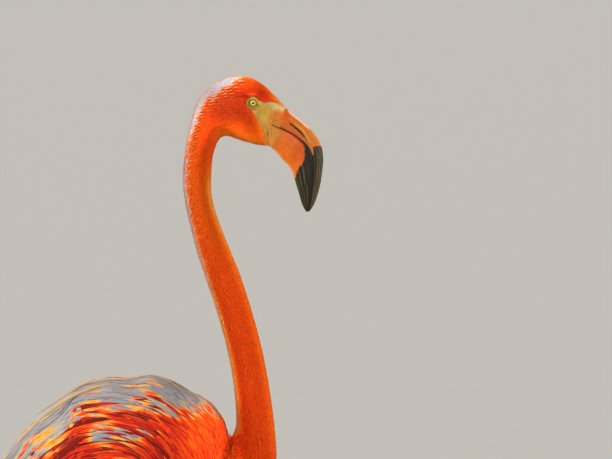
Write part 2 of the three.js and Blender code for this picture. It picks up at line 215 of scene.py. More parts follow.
def makeStudio():
    for lamp in studio["lamps"]:
        addLamp(*lamp)
    addUnderLamp(*studio["under"])
    world = bpy.data.worlds.new("studio air")
    world.use_nodes = True
    world.node_tree.nodes["Background"].inputs["Color"].default_value = toLinear("#f2f3f4")
    world.node_tree.nodes["Background"].inputs["Strength"].default_value = studio["air"]
    bpy.context.scene.world = world
    bpy.context.scene.view_settings.view_transform = "Standard"
    material, tree = newMaterial("matt painted studio floor")  # dull, so that it only takes soft shadows
    # grain about 25 mm across
    grain = addNode(tree, "TexNoise", {"Scale": 40.0, "Detail": 4.0},
                    {"Vector": addNode(tree, "TexCoord").outputs["Object"]})
    tone = addNode(tree, "ValToRGB", links={"Fac": grain.outputs["Fac"]})
    tone.color_ramp.elements[0].color = toLinear(studio["floor"][0])
    tone.color_ramp.elements[1].color = toLinear(studio["floor"][1])
    shade = addNode(tree, "BsdfPrincipled", {"Roughness": 0.9, "Specular IOR Level": 0.1},
                    {"Base Color": tone.outputs["Color"]})
    addNode(tree, "OutputMaterial", links={"Surface": shade.outputs["BSDF"]})
    bm = bmesh.new()
    bmesh.ops.create_circle(bm, cap_ends=True, segments=96, radius=studio["floorRadius"])
    floor = addObject("floor", finishMesh(bm, "floor"), material)


makeCamera()
makeStudio()
print("camera and studio made")

# markings: one set of functions for skin and coat
# They take bird millimetres (x, y, drop) and the surface's normal.
# Lists of outline points hold x and drop, the bare skin's upper and lower edge first.
bareTop = [(40, 26), (51.5, 24.0), (65.0, 26.5), (73.7, 29.6), (79.5, 28.6), (85.1, 29.3), (90.7, 32.6),
           (96, 35)]
bareLow = [(40, 34), (57.3, 38.1), (62.2, 44.8), (66.1, 52.5), (69.9, 60.3), (72.8, 68.0), (76.6, 72.8),
           (81, 78)]
# The pale ends of both ramps are pale feather tips and painted highlight: bluish white on the crown and nape,
# grey on the back.
warmRamp = [(0.0, "#740a09"), (0.12, "#b2170c"), (0.26, "#e2300a"), (0.40, "#fa4f07"), (0.54, "#fb790e"),
            (0.66, "#f59a42")]
plumageRamp = warmRamp + [(0.78, "#eeb282"), (0.90, "#c9c3c2"), (1.0, "#aec4d6")]  # down to the shoulder
backRamp = warmRamp + [(0.70, "#f4a830"), (0.80, "#d9a640"), (0.88, "#aaa294"), (1.0, "#8d9098")]
warmthByDrop = [(0, .31), (30, .31), (75, .38), (130, .45), (260, .36), (400, .33), (440, .29), (520, .27),
                (600, .30)]
wingEdge = [(-330, 570), (-240, 566), (-172, 554), (-112, 537), (-56, 514), (-6, 480), (27, 432), (40, 380)]


def bareAt(bird):  # bare skin from the eye to the bill and the chin
    x, drop = bird[..., 0], bird[..., 2]
    top = readOff(x, bareTop) + 0.45 * np.sin(x * 1.9)
    low = readOff(x, bareLow) + 0.7 * np.sin(drop * 1.1) + 0.5 * np.sin(drop * 2.3 + 1)
    wedge = smooth(-0.6, 0.6, drop - top) * smooth(-0.6, 0.6, low - drop) * smooth(57, 60, x)
    ring = 1 - smooth(7.0, 7.9, np.hypot(x - eyeSpot["x"], drop - eyeSpot["drop"]))
    return np.maximum(wedge, ring) * smooth(110, 100, drop)


def aheadOfRoot(bird):  # millimetres in front of the line where the horn of the bill starts
    return (bird[..., 0] - 76.2) * 0.947 + (bird[..., 2] - 77.8) * 0.322


def onWing(bird):
    x, drop = bird[..., 0], bird[..., 2]
    return smooth(38, 32, x) * smooth(325, 332, drop) * smooth(2, -4, drop - readOff(x, wingEdge))


def bleachAndHighlightAt(bird, normal, luck=0.5):  # pale feather tips on the crown, nape and back, and painted highlight where they face the key and rim lamps
    # Painted highlight over pale feather tips: the crown, the nape's rim and the back turn pale where the
    # surface faces up and back, toward the lamps.
    x, drop = bird[..., 0], bird[..., 2]
    backUp = 0.7 * (normal[..., 2] - normal[..., 0])
    chance = luck - 0.5
    wave = 0.05 * np.sin(x * 0.55 + drop * 0.21) + 0.04 * np.sin(drop * 0.5 - x * 0.3)
    patch = np.sin(drop * 0.62 + 1.3 * np.sin(x * 0.5)) * np.sin(drop * 0.23 - x * 0.31 + 1.0)
    crown = smooth(0.47, 0.69, backUp + wave + 0.11 * streakAt(bird) + chance * 0.22)
    crown = crown * smooth(56, 38, x) * smooth(96, 50, drop)
    offLine = smooth(0.16, 0.32, np.abs(normal[..., 1]))  # the midline stays yellow
    rim = smooth(0.78, 1.02, -normal[..., 0] * 0.98 + chance * 0.62 + wave + 0.20 * patch)
    nape = 0.95 * rim * smooth(48, 66, drop) * smooth(300, 90, drop)
    ridge = np.hypot(normal[..., 0], normal[..., 2]) * smooth(-0.1, 0.2, normal[..., 2])
    wheel = np.hypot(x + 87, 430 - drop)
    arcs = 0.42 * smooth(0.50, 0.66, luck) * np.exp(-((x + 90) / 34) ** 4 - ((drop - 403) / 14) ** 2)
    arcs = arcs + 0.40 * smooth(0.60, 0.72, luck) * near(x, drop, -88, 425, 20, 9)
    strip = 0.05 * np.sin(x * 0.11 + drop * 0.05) + 0.06 * np.sin(wheel * 0.6 + 0.02 * x)
    back = smooth(0.60, 0.84, ridge + arcs + chance * 0.26 + strip)
    shoulder = near(x, drop, 19, 374, 5, 9) * smooth(0.35, 0.5, luck)
    head = np.maximum(crown, nape) * (0.45 + 0.55 * offLine)
    below = np.maximum(drop - readOff(x, [row[:2] for row in backOutline]) - 5, 0)
    back = back * smooth(24, 4, x + 1.5 * below * smooth(-50, -22, x) - 24 * chance) * smooth(27, 18, x)
    back = back * (0.72 + 0.28 * smooth(0.06, 0.16, np.abs(normal[..., 1])))
    gap = near(x, drop, -172, 388, 13, 22) * smooth(0.35, 0.65, np.abs(normal[..., 1]))
    back = back * (1 - 0.9 * gap * smooth(0.15, 0.45, luck))
    return np.maximum(head, np.maximum(back, shoulder) * onWing(bird))


def streakAt(bird):  # long flecks side by side, along the lie of the crown's feathers
    x, drop = bird[..., 0], bird[..., 2]
    across = np.sin(1.75 * drop + 0.45 * x + 1.6 * np.sin(0.17 * x + 0.11 * drop))
    return across * np.sin(0.33 * x - 0.2 * drop)


def warmthAt(bird, normal, luck=0.5):  # place on the plumage ramp
    x, drop = bird[..., 0], bird[..., 2]
    base = readOff(drop, warmthByDrop)
    head, long = smooth(100, 80, drop), smooth(95, 130, drop) * smooth(450, 420, drop)
    backUp = 0.7 * (normal[..., 2] - normal[..., 0])
    # forehead: warmer, toward orange and pale, where the head faces up and forward: painted top light
    upward = smooth(0.55, 0.95, 0.5 * normal[..., 0] + 0.85 * normal[..., 2])
    forehead = (0.16 + 0.24 * smooth(70, 84, x)) * head * upward * smooth(34, 50, x)
    brow = -0.12 * near(x, drop, 62, 19, 26, 7)
    temple = -0.09 * near(x, drop, 24, 34, 26, 13)
    # flecks: a streaked band where the crown turns from top to side; its bright streaks are painted
    # highlight, its dark ones crimson flecks
    flecks = np.exp(-((backUp - 0.40) / 0.14) ** 2) * smooth(58, 40, x) * smooth(110, 80, drop)
    wave = np.tanh(3 * streakAt(bird))
    flecks = flecks * ((luck - 0.5) * 0.14 + np.where(wave > 0, 0.40, 0.20) * wave - 0.04)
    specks = smooth(0.10, 0.5, -normal[..., 0]) * smooth(60, 90, drop) * smooth(240, 150, drop)
    flecks = flecks + specks * ((luck - 0.55) * 0.24 + 0.10 * streakAt(bird[..., [2, 1, 0]] * 0.8))
    nape = smooth(0.45, 0.8, -normal[..., 0]) * smooth(60, 90, drop) * smooth(300, 160, drop)
    nape = nape * (luck - 0.5) * 0.26
    # rim and front: warmer where the neck faces back and forward, a painted rim light; the dip just inside
    # the back rim is painted shade
    rim = 0.33 * smooth(0.58, 0.86, -normal[..., 0]) - 0.05 * np.exp(-((normal[..., 0] + 0.45) / 0.2) ** 2)
    # throat: warmer where the head faces down, a painted glow of bounced light
    throat = 0.17 * smooth(0.1, 0.9, -normal[..., 2]) * smooth(120, 70, drop)
    front = (0.13 + 0.09 * smooth(260, 150, drop)) * smooth(0.45, 0.95, normal[..., 0]) * long
    front = front * (1 - onWing(bird))
    wing = onWing(bird) * (0.04 - 0.25 * smooth(4, -50, x) + smooth(4, -50, x) * (luck - 0.6) * 0.16)
    glint = 0.34 * near(x, drop, 59, 20.6, 4.2, 1.5)
    fleck = -0.14 * near(x, drop, -1, 100, 2.2, 2.4)
    byFace = 0.10 * bareAt(bird + np.array([4.5, 0, -1.5])) * smooth(34, 44, drop)
    for part in (forehead, brow, temple, flecks, nape, rim * long, throat, front, wing, glint, fleck, byFace):
        base = base + part
    base = base + (0.74 - base) * smooth(85, 93, x) * smooth(37, 33, drop)
    # toward the ramp's pale end: pale feather tips and painted highlight
    return base + (1.04 - base) * bleachAndHighlightAt(bird, normal, luck)


def shadeAndToneAt(bird, normal):  # painted shade on the cheek, the middle of the upper neck and the wing behind the shoulder; also darker over the brow and in the crown's fleck band
    x, drop = bird[..., 0], bird[..., 2]
    cheek = 0.52 * np.exp(-((x - 31) / 31) ** 4 - ((drop - 33) / 21) ** 4)
    brow = 0.24 * near(x, drop, 60, 18, 24, 10)
    neck = (0.15 + 0.15 * smooth(240, 150, drop)) * smooth(60, 95, drop) * smooth(450, 420, drop)
    neck = neck * smooth(0.95, 0.5, np.abs(normal[..., 0])) * (1 - onWing(bird))
    wing = 0.34 * onWing(bird) * smooth(8, -25, x)
    backUp = 0.7 * (normal[..., 2] - normal[..., 0])
    flecks = 0.36 * smooth(0.05, 0.25, backUp) * smooth(0.58, 0.44, backUp)
    flecks = flecks * smooth(60, 44, x) * smooth(115, 80, drop)
    return 1 - np.maximum(np.maximum(cheek, brow), np.maximum(np.maximum(neck, wing), flecks))


# shade, most, x, drop, and how far it reaches each way
faceSpots = [("#b08d44", 1, 70, 42, 8, 12), ("#c29a44", 0.9, 76, 42, 3.5, 6),
             ("#c9a658", 0.7, 71, 50, 5, 6), ("#c97f30", 0.9, 84, 45, 4.2, 6),
             ("#c2b6a4", 0.9, 85, 35.6, 4.2, 3.6), ("#98b4a0", 0.9, 80, 31.2, 5, 2.2),
             ("#cf5c28", 1, 87.8, 44.8, 6.8, 6.6), ("#cfc2ac", 0.9, 92.5, 36, 4.6, 2.6),
             ("#c4651f", 0.9, 86.5, 50.5, 6, 3.2), ("#a58a42", 0.8, 65.5, 58, 3.2, 6),
             # The dark spot at 75.2, 64.3 lies in the fold at the mouth's corner: painted shade.
             ("#cb7a36", 0.8, 81, 58, 5, 8), ("#7c4d14", 0.9, 75.2, 64.3, 1.2, 2.1),
             ("#dc9146", 0.8, 80, 74, 4, 5), ("#c2702c", 0.6, 84, 64, 4, 5),
             # The dark marks at 59.6, 37.6 and 66, 33.5 lie in the groove under the lower lid and in the
             # eye's front corner: painted shade.
             ("#bdb26a", 0.9, 59.6, 30.1, 7.2, 7.2), ("#85702c", 0.6, 59.6, 37.6, 3.6, 0.7),
             ("#cfae70", 0.8, 61.5, 39.6, 3, 0.8), ("#6d541e", 0.7, 66, 33.5, 1.6, 0.9),
             ("#9da566", 0.7, 52.4, 30.3, 1.4, 2.4), ("#6d5846", 0.8, 92.4, 34.6, 1.6, 0.5),
             ("#8d7434", 0.6, 66.5, 40.5, 2.2, 1.2)]
mouthLine = [(80.3, 54.2), (83.8, 56.0), (92.6, 59.8), (102.7, 64.8)]


def nearLine(points, line):  # distance in the side view from a line of points
    best = np.full(points.shape[:-1], 1e9)
    for (ax, ay), (bx, by) in zip(line[:-1], line[1:]):
        run = np.array([bx - ax, by - ay])
        t = np.clip(((points[..., 0] - ax) * run[0] + (points[..., 1] - ay) * run[1]) / (run @ run), 0, 1)
        best = np.minimum(best, np.hypot(points[..., 0] - ax - t * run[0], points[..., 1] - ay - t * run[1]))
    return best


def blend(colour, shade, share):
    return colour + share[..., None] * (np.array(toLinear(shade)[:3]) - colour)


deeper = np.array([0.84, 0.82, 0.52])  # keeps the face and the horn as yellow as they are under warm lamps


def faceColours(bird):  # bare skin: olive, grey-green under the culmen's root, orange toward the bill
    x, drop = bird[..., 0], bird[..., 2]
    colour = np.broadcast_to(np.array(toLinear("#bf8540")[:3]), bird.shape)
    for shade, most, atX, atDrop, long, high in faceSpots:
        colour = blend(colour, shade, most * near(x, drop, atX, atDrop, long, high))
    cloud = np.sin(x * 1.25 + 2.0 * np.sin(drop * 0.62)) * np.sin(drop * 1.05 + 1.6 * np.sin(x * 0.83))
    colour = blend(colour, "#86702f", 0.30 * np.maximum(cloud, 0))
    colour = blend(colour, "#e3b468", 0.30 * np.maximum(-cloud, 0))
    # lighter on the crests of the chin folds that shapeFace raises: painted highlight
    folds = 0.5 + 0.5 * np.sin((x * 0.95 - drop * 0.42) * 1.5 + 0.8 * np.sin(drop * 0.3))
    colour = blend(colour, "#e7a868", 0.30 * folds * smooth(56, 64, drop) * smooth(90, 82, x))
    # dark line along the gape at the corner of the mouth: painted shade of the slit
    gape = nearLine(bird[..., [0, 2]], mouthLine)
    return blend(colour, "#4a1710", smooth(0.85, 0.35, gape)) * deeper


# skin: flesh nodes in one piece, smoothed, drawn in by the depth of the coat
skinPlan = {"voxel": 0.0032, "passes": 14, "faceRadius": 42.0, "lidRadius": 11.5, "billTrim": 7.0,
            "headFrom": 1.06}
fleshNodes = ["head", "neck_1", "neck_2", "neck_3", "neck_4", "neck_5", "trunk", "tail", "thigh_right",
              "thigh_left", "wing_right", "wing_left"]


def coatDepth(bird):  # millimetres from the skin out to the tips of the coat
    x, drop = bird[..., 0], bird[..., 2]
    depth = np.interp(drop, [0, 60, 130, 400, 440, 600], [1.3, 1.3, 1.6, 2.6, 5.0, 5.5])
    depth = depth + (5.2 - depth) * (drop > 330) * smooth(38, 20, x)
    thigh = smooth(562, 578, drop)
    depth = depth * (1 - thigh) + 3.0 * thigh
    face = smooth(86, 70, x) * smooth(95, 85, drop) + smooth(85, 95, drop)
    face = np.maximum(face, smooth(35, 30, drop) * smooth(98, 95, x))  # full to the end of the forehead
    return depth * np.clip(face, 0.05, 1) * (1 - bareAt(bird) * 0.92)


def neighbourMean(values, edges, count):
    a, b = edges[:, 0], edges[:, 1]
    if values.ndim == 1:
        return (np.bincount(a, values[b], len(count)) + np.bincount(b, values[a], len(count))) / count
    return np.stack([neighbourMean(values[:, k], edges, count) for k in range(values.shape[1])], 1)


def meshArrays(mesh):
    points = np.empty(len(mesh.vertices) * 3, np.float32)
    mesh.vertices.foreach_get("co", points)
    edges = np.empty(len(mesh.edges) * 2, np.int32)
    mesh.edges.foreach_get("vertices", edges)
    edges = edges.reshape(-1, 2)
    count = np.bincount(edges.ravel(), minlength=len(mesh.vertices)).astype(float)
    return points.reshape(-1, 3).astype(float), edges, np.maximum(count, 1)


def vertexNormals(mesh):
    normals = np.empty(len(mesh.vertices) * 3, np.float32)
    mesh.vertex_normals.foreach_get("vector", normals)
    return normals.reshape(-1, 3).astype(float)


def setPoints(mesh, points):
    mesh.vertices.foreach_set("co", points.astype(np.float32).ravel())
    mesh.update()


def fusedFlesh():
    bm = bmesh.new()
    for name in fleshNodes + ["eye_right", "eye_left", "bill_upper", "bill_lower"]:
        bm.from_mesh(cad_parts[name].data)
    bmesh.ops.remove_doubles(bm, verts=bm.verts, dist=1e-5)
    raw = bpy.data.objects.new("raw", finishMesh(bm, "raw"))
    bpy.context.scene.collection.objects.link(raw)
    remesh = raw.modifiers.new("fuse", "REMESH")
    remesh.mode, remesh.voxel_size = "VOXEL", skinPlan["voxel"]
    fused = bpy.data.meshes.new_from_object(raw.evaluated_get(bpy.context.evaluated_depsgraph_get()))
    bpy.data.objects.remove(raw)
    return fused


def keepLargest(bm):
    bm.verts.ensure_lookup_table()
    seen, islands = set(), []
    for start in bm.verts:
        if start.index in seen:
            continue
        island, waiting = [], [start]
        seen.add(start.index)
        while waiting:
            vertex = waiting.pop()
            island.append(vertex)
            for edge in vertex.link_edges:
                other = edge.other_vert(vertex)
                if other.index not in seen:
                    seen.add(other.index)
                    waiting.append(other)
        islands.append(island)
    islands.sort(key=len)
    bmesh.ops.delete(bm, geom=[v for island in islands[:-1] for v in island], context="VERTS")


def refine(bm, inside, passes):  # halves the faces whose corners are all inside, and smooths them
    chosen = [e for e in bm.edges if inside(e.verts[0].co) and inside(e.verts[1].co)]
    bmesh.ops.subdivide_edges(bm, edges=chosen, cuts=1, use_grid_fill=True)
    chosen = [v for v in bm.verts if inside(v.co)]
    for _ in range(passes):
        bmesh.ops.smooth_vert(bm, verts=chosen, factor=0.5, use_axis_x=True, use_axis_y=True, use_axis_z=True)


def drawIn(mesh):  # moves the skin in by the coat's depth, and never past the middle of a thin part
    points, edges, count = meshArrays(mesh)
    for step in range(skinPlan["passes"] * 2):
        push = 0.5 if step % 2 == 0 else -0.52
        points += push * (neighbourMean(points, edges, count) - points)
    setPoints(mesh, points)
    normals = vertexNormals(mesh)
    tree = BVHTree.FromPolygons([Vector(p) for p in points], [list(f.vertices) for f in mesh.polygons])
    depth = coatDepth(toBird(points)) / 1000
    for i, (point, normal) in enumerate(zip(points, normals)):
        start = Vector(point) - Vector(normal) * 0.0005
        hit = tree.ray_cast(start, -Vector(normal), 0.03)
        if hit[0] is not None:
            depth[i] = min(depth[i], hit[3] * 0.38)
    for _ in range(6):
        depth += 0.5 * (neighbourMean(depth, edges, count) - depth)
    points -= normals * depth[:, None]
    for step in range(8):
        push = 0.5 if step % 2 == 0 else -0.52
        points += push * (neighbourMean(points, edges, count) - points)
    setPoints(mesh, points)


# x, the drop of the back's outline there, and how far it is lifted over the fused flesh
backOutline = [(-240, 440, 4.0), (-211, 414, 5.4), (-196, 399, 5.6), (-184, 388, 2.0), (-172, 377, -4.5),
               (-153, 359, -7.0), (-142, 350, 1.0), (-130, 342, 3.0), (-97, 341, 2.0), (-72, 339, -0.4),
               (-53, 335, 4.0), (-27, 344, 0.2), (-8, 355, -3.6), (10, 363, 0), (33, 392, 0)]


def shapeFace(mesh):
    points = meshArrays(mesh)[0]
    bird = toBird(points)
    x, out, drop = bird[:, 0], np.abs(bird[:, 1]), bird[:, 2]
    r = np.hypot(x - eyeSpot["x"], drop - eyeSpot["drop"])
    lores = near(x, drop, 76, 41, 9, 9)  # hollow before the eye
    brow = near(x, drop, 62, 18.5, 11, 5)  # ridge over it
    cheek = near(x, drop, 45, 52, 16, 13)
    pit = near(x, drop, 75.6, 64.4, 1.6, 2.2)  # fold at the corner of the mouth
    folds = np.sin((x * 0.85 + drop * 0.35) * 1.15 + 1.1 * np.sin(drop * 0.22))
    folds = folds * smooth(9, 13, r) * bareAt(bird)
    crease = np.sin((x * 0.95 - drop * 0.42) * 1.5 + 0.8 * np.sin(drop * 0.3))
    crease *= smooth(56, 64, drop) * smooth(90, 82, x)
    under = np.exp(-((r - 8.9) / 0.5) ** 2) * smooth(28, 36, drop)  # folds below the lid
    made = out - 1.9 * lores + 0.9 * brow + 0.8 * cheek - 0.9 * pit + 0.16 * folds
    made = made + 0.28 * crease * bareAt(bird)
    made -= 0.22 * np.exp(-((r - 7.9) / 0.9) ** 2) + 0.35 * under
    ball = np.sqrt(np.maximum(eyeSpot["radius"] ** 2 - r * r, 0))
    turn = np.arctan2(drop - eyeSpot["drop"], x - eyeSpot["x"])
    corner = 0.75 * np.exp(-((turn - 0.42) / 0.30) ** 2) + 0.25 * np.exp(-((np.abs(turn) - 3.0) / 0.35) ** 2)
    lidR = r - corner - 0.15 * np.cos(turn) ** 2  # the opening comes to a point in front
    crinkle = 0.07 * np.sin(turn * 17 + 1.3 * np.sin(turn * 5)) * smooth(5.6, 7.0, r)
    rim = ball + 0.15 + 0.85 * np.exp(-((lidR - 5.7) / 0.75) ** 2) + crinkle
    rim += 0.10 * np.sin(lidR * 4.1 + 0.6 * np.sin(turn * 3))
    lid = eyeSpot["y"] + (ball - 1.3) + (rim - ball + 1.3) * smooth(4.45, 4.95, lidR)
    made += (lid - made) * (1 - smooth(6.1, 7.6, r))
    chosen = (out > 6) & (x > 10) & (x < 105) & (drop < 92)
    points[chosen, 1] = (np.sign(bird[:, 1]) * made / 1000)[chosen]
    chin = np.clip((x - 30) / 38, 0, 1) * smooth(88, 80, x) * smooth(50, 72, drop) * (drop < 92)
    points[:, 2] -= 0.0018 * chin
    hollow = np.exp(-((x - 34) / 6) ** 2) * smooth(376, 392, drop) * smooth(440, 412, drop)
    points[:, 2] -= 0.0115 * hollow  # behind the foot of the neck
    stations, tops, lifts = (np.array(v, float) for v in zip(*backOutline))
    below = drop - np.interp(x, stations, tops)
    lift = np.interp(x, stations, lifts) * smooth(70, 10, below) * (drop > 325) * smooth(34, 20, x)
    points[:, 2] += lift / 1000
    setPoints(mesh, points)


def makeSkin():
    fused = fusedFlesh()
    bm = bmesh.new()
    bm.from_mesh(fused)
    keepLargest(bm)
    bm.to_mesh(fused)
    bm.free()
    drawIn(fused)
    bm = bmesh.new()
    bm.from_mesh(fused)
    eye = spot(eyeSpot["x"] + 8, eyeSpot["drop"] + 14)

    def onFace(co):
        return (co.x - eye.x) ** 2 + (co.z - eye.z) ** 2 < (skinPlan["faceRadius"] / 1000) ** 2

    def byEye(co):
        r = math.hypot(co.x * 1000 - shift - eyeSpot["x"], crownHeight - co.z * 1000 - eyeSpot["drop"])
        return r < skinPlan["lidRadius"] and abs(co.y) > 0.012

    def byGape(co):
        bird = toBird(co)
        return 77 < bird[0] < 88 and 50 < bird[2] < 61 and abs(bird[1]) > 5
    refine(bm, onFace, 2)
    refine(bm, onFace, 2)
    refine(bm, byEye, 1)
    refine(bm, byEye, 0)
    refine(bm, byGape, 0)
    refine(bm, byGape, 0)
    # what would lie inside the bill is cut off, and the end is tucked in under the horn
    low, high = spot(76.2, 77.8), spot(92.4, 30.2)
    across = (high - low).normalized()
    forward = Vector((across.z, 0, -across.x))
    cut = low + forward * skinPlan["billTrim"] / 1000
    inBill = [f for f in bm.faces if (f.calc_center_median() - low).dot(forward) > -0.01
              and f.verts[0].co.z > skinPlan["headFrom"]]
    corners = list(dict.fromkeys(v for f in inBill for v in f.verts))
    sides = list(dict.fromkeys(e for f in inBill for e in f.edges))
    trimmed = bmesh.ops.bisect_plane(bm, geom=corners + sides + inBill, plane_co=cut, plane_no=forward,
                                     clear_outer=True)
    rim = [g for g in trimmed["geom_cut"] if isinstance(g, bmesh.types.BMEdge)]
    bmesh.ops.holes_fill(bm, edges=rim, sides=0)
    for vertex in bm.verts:
        ahead = (vertex.co - low).dot(forward) * 1000
        if ahead > 0 and vertex.co.z > skinPlan["headFrom"]:
            tuck = 0.06 * float(smooth(0.0, 7.0, ahead))
            vertex.co = vertex.co.lerp(low.lerp(high, 0.5) + forward * ahead / 1000, tuck)
    bmesh.ops.triangulate(bm, faces=[f for f in bm.faces if len(f.verts) > 4])
    bmesh.ops.recalc_face_normals(bm, faces=bm.faces)
    mesh = finishMesh(bm, "skin")
    shapeFace(mesh)
    return mesh


skinMesh = makeSkin()
print("skin shaped:", len(skinMesh.polygons), "faces")


# what the coat needs to know of the skin
class Hide:  # the skin as arrays: corners, normals, the way the coat lies, and an unwrap
    pass


def readHide(mesh):
    hide = Hide()
    hide.points, hide.edges, hide.count = meshArrays(mesh)
    hide.normals = vertexNormals(mesh)
    hide.bird = toBird(hide.points)
    mesh.calc_loop_triangles()
    corners = np.empty(len(mesh.loop_triangles) * 3, np.int32)
    mesh.loop_triangles.foreach_get("vertices", corners)
    hide.faces = corners.reshape(-1, 3)
    places = [Vector(p) for p in hide.points]
    hide.tree = BVHTree.FromPolygons(places, hide.faces.tolist(), all_triangles=True)
    a, b, c = (hide.points[hide.faces[:, i]] for i in range(3))
    hide.area = np.linalg.norm(np.cross(b - a, c - a), axis=1) / 2
    hide.distance = distanceFromBill(hide)
    hide.flow = flowOf(hide)
    hide.unwrap = unwrapOf(hide)
    hide.faceNormal = hide.normals[hide.faces].mean(1)
    hide.faceNormal /= np.linalg.norm(hide.faceNormal, axis=1)[:, None] + 1e-12
    hide.faceFlow = hide.flow[hide.faces].mean(1)
    hide.faceFlow /= np.linalg.norm(hide.faceFlow, axis=1)[:, None] + 1e-12
    hide.faceBird = hide.bird[hide.faces].mean(1)
    return hide


def distanceFromBill(hide):  # walks the mesh's edges from the bill's base to every corner of the skin
    links = [[] for _ in hide.points]
    spans = np.linalg.norm(hide.points[hide.edges[:, 0]] - hide.points[hide.edges[:, 1]], axis=1)
    for (a, b), span in zip(hide.edges.tolist(), spans.tolist()):
        links[a].append((b, span))
        links[b].append((a, span))
    reached = [math.inf] * len(links)
    front = np.nonzero((hide.bird[:, 0] > 84) & (hide.bird[:, 2] < 90))[0].tolist()
    waiting = [(0.0, i) for i in front]
    for i in front:
        reached[i] = 0.0
    heapq.heapify(waiting)
    while waiting:
        so, i = heapq.heappop(waiting)
        if so > reached[i]:
            continue
        for j, span in links[i]:
            if so + span < reached[j]:
                reached[j] = so + span
                heapq.heappush(waiting, (so + span, j))
    distance = np.array(reached)
    distance[~np.isfinite(distance)] = 0
    for _ in range(30):
        distance += 0.7 * (neighbourMean(distance, hide.edges, hide.count) - distance)
    return distance


def tangentPart(vectors, normals):
    flat = vectors - normals * (vectors * normals).sum(-1)[..., None]
    return flat / (np.linalg.norm(flat, axis=-1)[..., None] + 1e-12)


def flowOf(hide):  # unit vectors along the skin, away from the bill
    a, b = hide.edges[:, 0], hide.edges[:, 1]
    gap = hide.points[b] - hide.points[a]
    rise = (hide.distance[b] - hide.distance[a]) / ((gap ** 2).sum(1) + 1e-12)
    pull = gap * rise[:, None]
    held = [np.bincount(a, pull[:, k], len(hide.count)) + np.bincount(b, pull[:, k], len(hide.count))
            for k in range(3)]
    flow = np.stack(held, 1)
    flow = tangentPart(flow, hide.normals)
    for _ in range(40):
        flow = tangentPart(flow + neighbourMean(flow, hide.edges, hide.count), hide.normals)
    return flow


def unwrapOf(hide):  # u along the body, v round it
    steps = 90
    total = hide.distance.max()
    bins = np.minimum((hide.distance / total * steps).astype(int), steps - 1)
    held = np.maximum(np.bincount(bins, minlength=steps), 1)
    middle = np.stack([np.bincount(bins, hide.points[:, k], steps) / held for k in range(3)], 1)
    for _ in range(4):
        middle[1:-1] = (middle[:-2] + 2 * middle[1:-1] + middle[2:]) / 4
    along = np.gradient(middle, axis=0)
    along /= np.linalg.norm(along, axis=1)[:, None] + 1e-12
    up = np.cross(along, [0, 1, 0])
    arm = hide.points - middle[bins]
    round_ = np.arctan2(arm[:, 1], (arm * up[bins]).sum(1))
    return np.stack([0.02 + 0.95 * hide.distance / total, 0.5 + round_ / (2 * math.pi) * 0.95], 1)


hide = readHide(skinMesh)
print("coat directions found")


# the coat: closed vanes laid over the skin
def wingField(bird):  # up and over the shoulder, back along the body, then down behind
    x, drop = bird[..., 0], bird[..., 2]
    armX, armUp = x + 84, 446 - drop
    reach = np.hypot(armX, armUp) + 1e-6
    turn = np.stack([-armUp / reach, np.zeros_like(x), armX / reach], -1)
    back = np.stack([-np.ones_like(x), np.zeros_like(x), -0.10 - 0.25 * smooth(-150, -300, x)], -1)
    share = (smooth(505, 430, drop) * smooth(0, 60, reach))[..., None]
    return turn * share + back * (1 - share * 0.72)


def layAt(bird, normal, flow):  # unit vectors along the coat's lie
    wing = (onWing(bird) > 0.5)[..., None]
    return tangentPart(np.where(wing, wingField(bird), flow), normal)


def scatter(radius, seed, stretch=None):  # roots at least radius millimetres apart, where radius is over 0
    rng = np.random.default_rng(seed)
    chosen = np.nonzero(radius > 0)[0]
    weight = hide.area[chosen] * 1e6 / radius[chosen] ** 2
    total = int(weight.sum() * 3.0)
    heap = np.cumsum(weight)
    faces = chosen[np.minimum(np.searchsorted(heap, rng.random(total) * heap[-1]), len(chosen) - 1)]
    a, b = rng.random(total), rng.random(total)
    flip = a + b > 1
    a[flip], b[flip] = 1 - a[flip], 1 - b[flip]
    first, second, third = (hide.points[hide.faces[faces, k]] for k in range(3))
    roots = first + a[:, None] * (second - first) + b[:, None] * (third - first)
    size = radius[chosen].max() / 1000
    spread = roots if stretch is None else stretch(roots)
    keys = np.floor(spread / size).astype(int).tolist()
    limits = ((radius[faces] / 1000) ** 2).tolist()
    places = spread.tolist()
    cells, kept = {}, []
    around = [(i, j, k) for i in (-1, 0, 1) for j in (-1, 0, 1) for k in (-1, 0, 1)]
    for n, ((kx, ky, kz), (px, py, pz), limit) in enumerate(zip(keys, places, limits)):
        free = True
        for i, j, k in around:
            for qx, qy, qz in cells.get((kx + i, ky + j, kz + k), ()):
                if (px - qx) ** 2 + (py - qy) ** 2 + (pz - qz) ** 2 < limit:
                    free = False
                    break
            if not free:
                break
        if free:
            cells.setdefault((kx, ky, kz), []).append((px, py, pz))
            kept.append(n)
    return faces[kept], roots[kept]


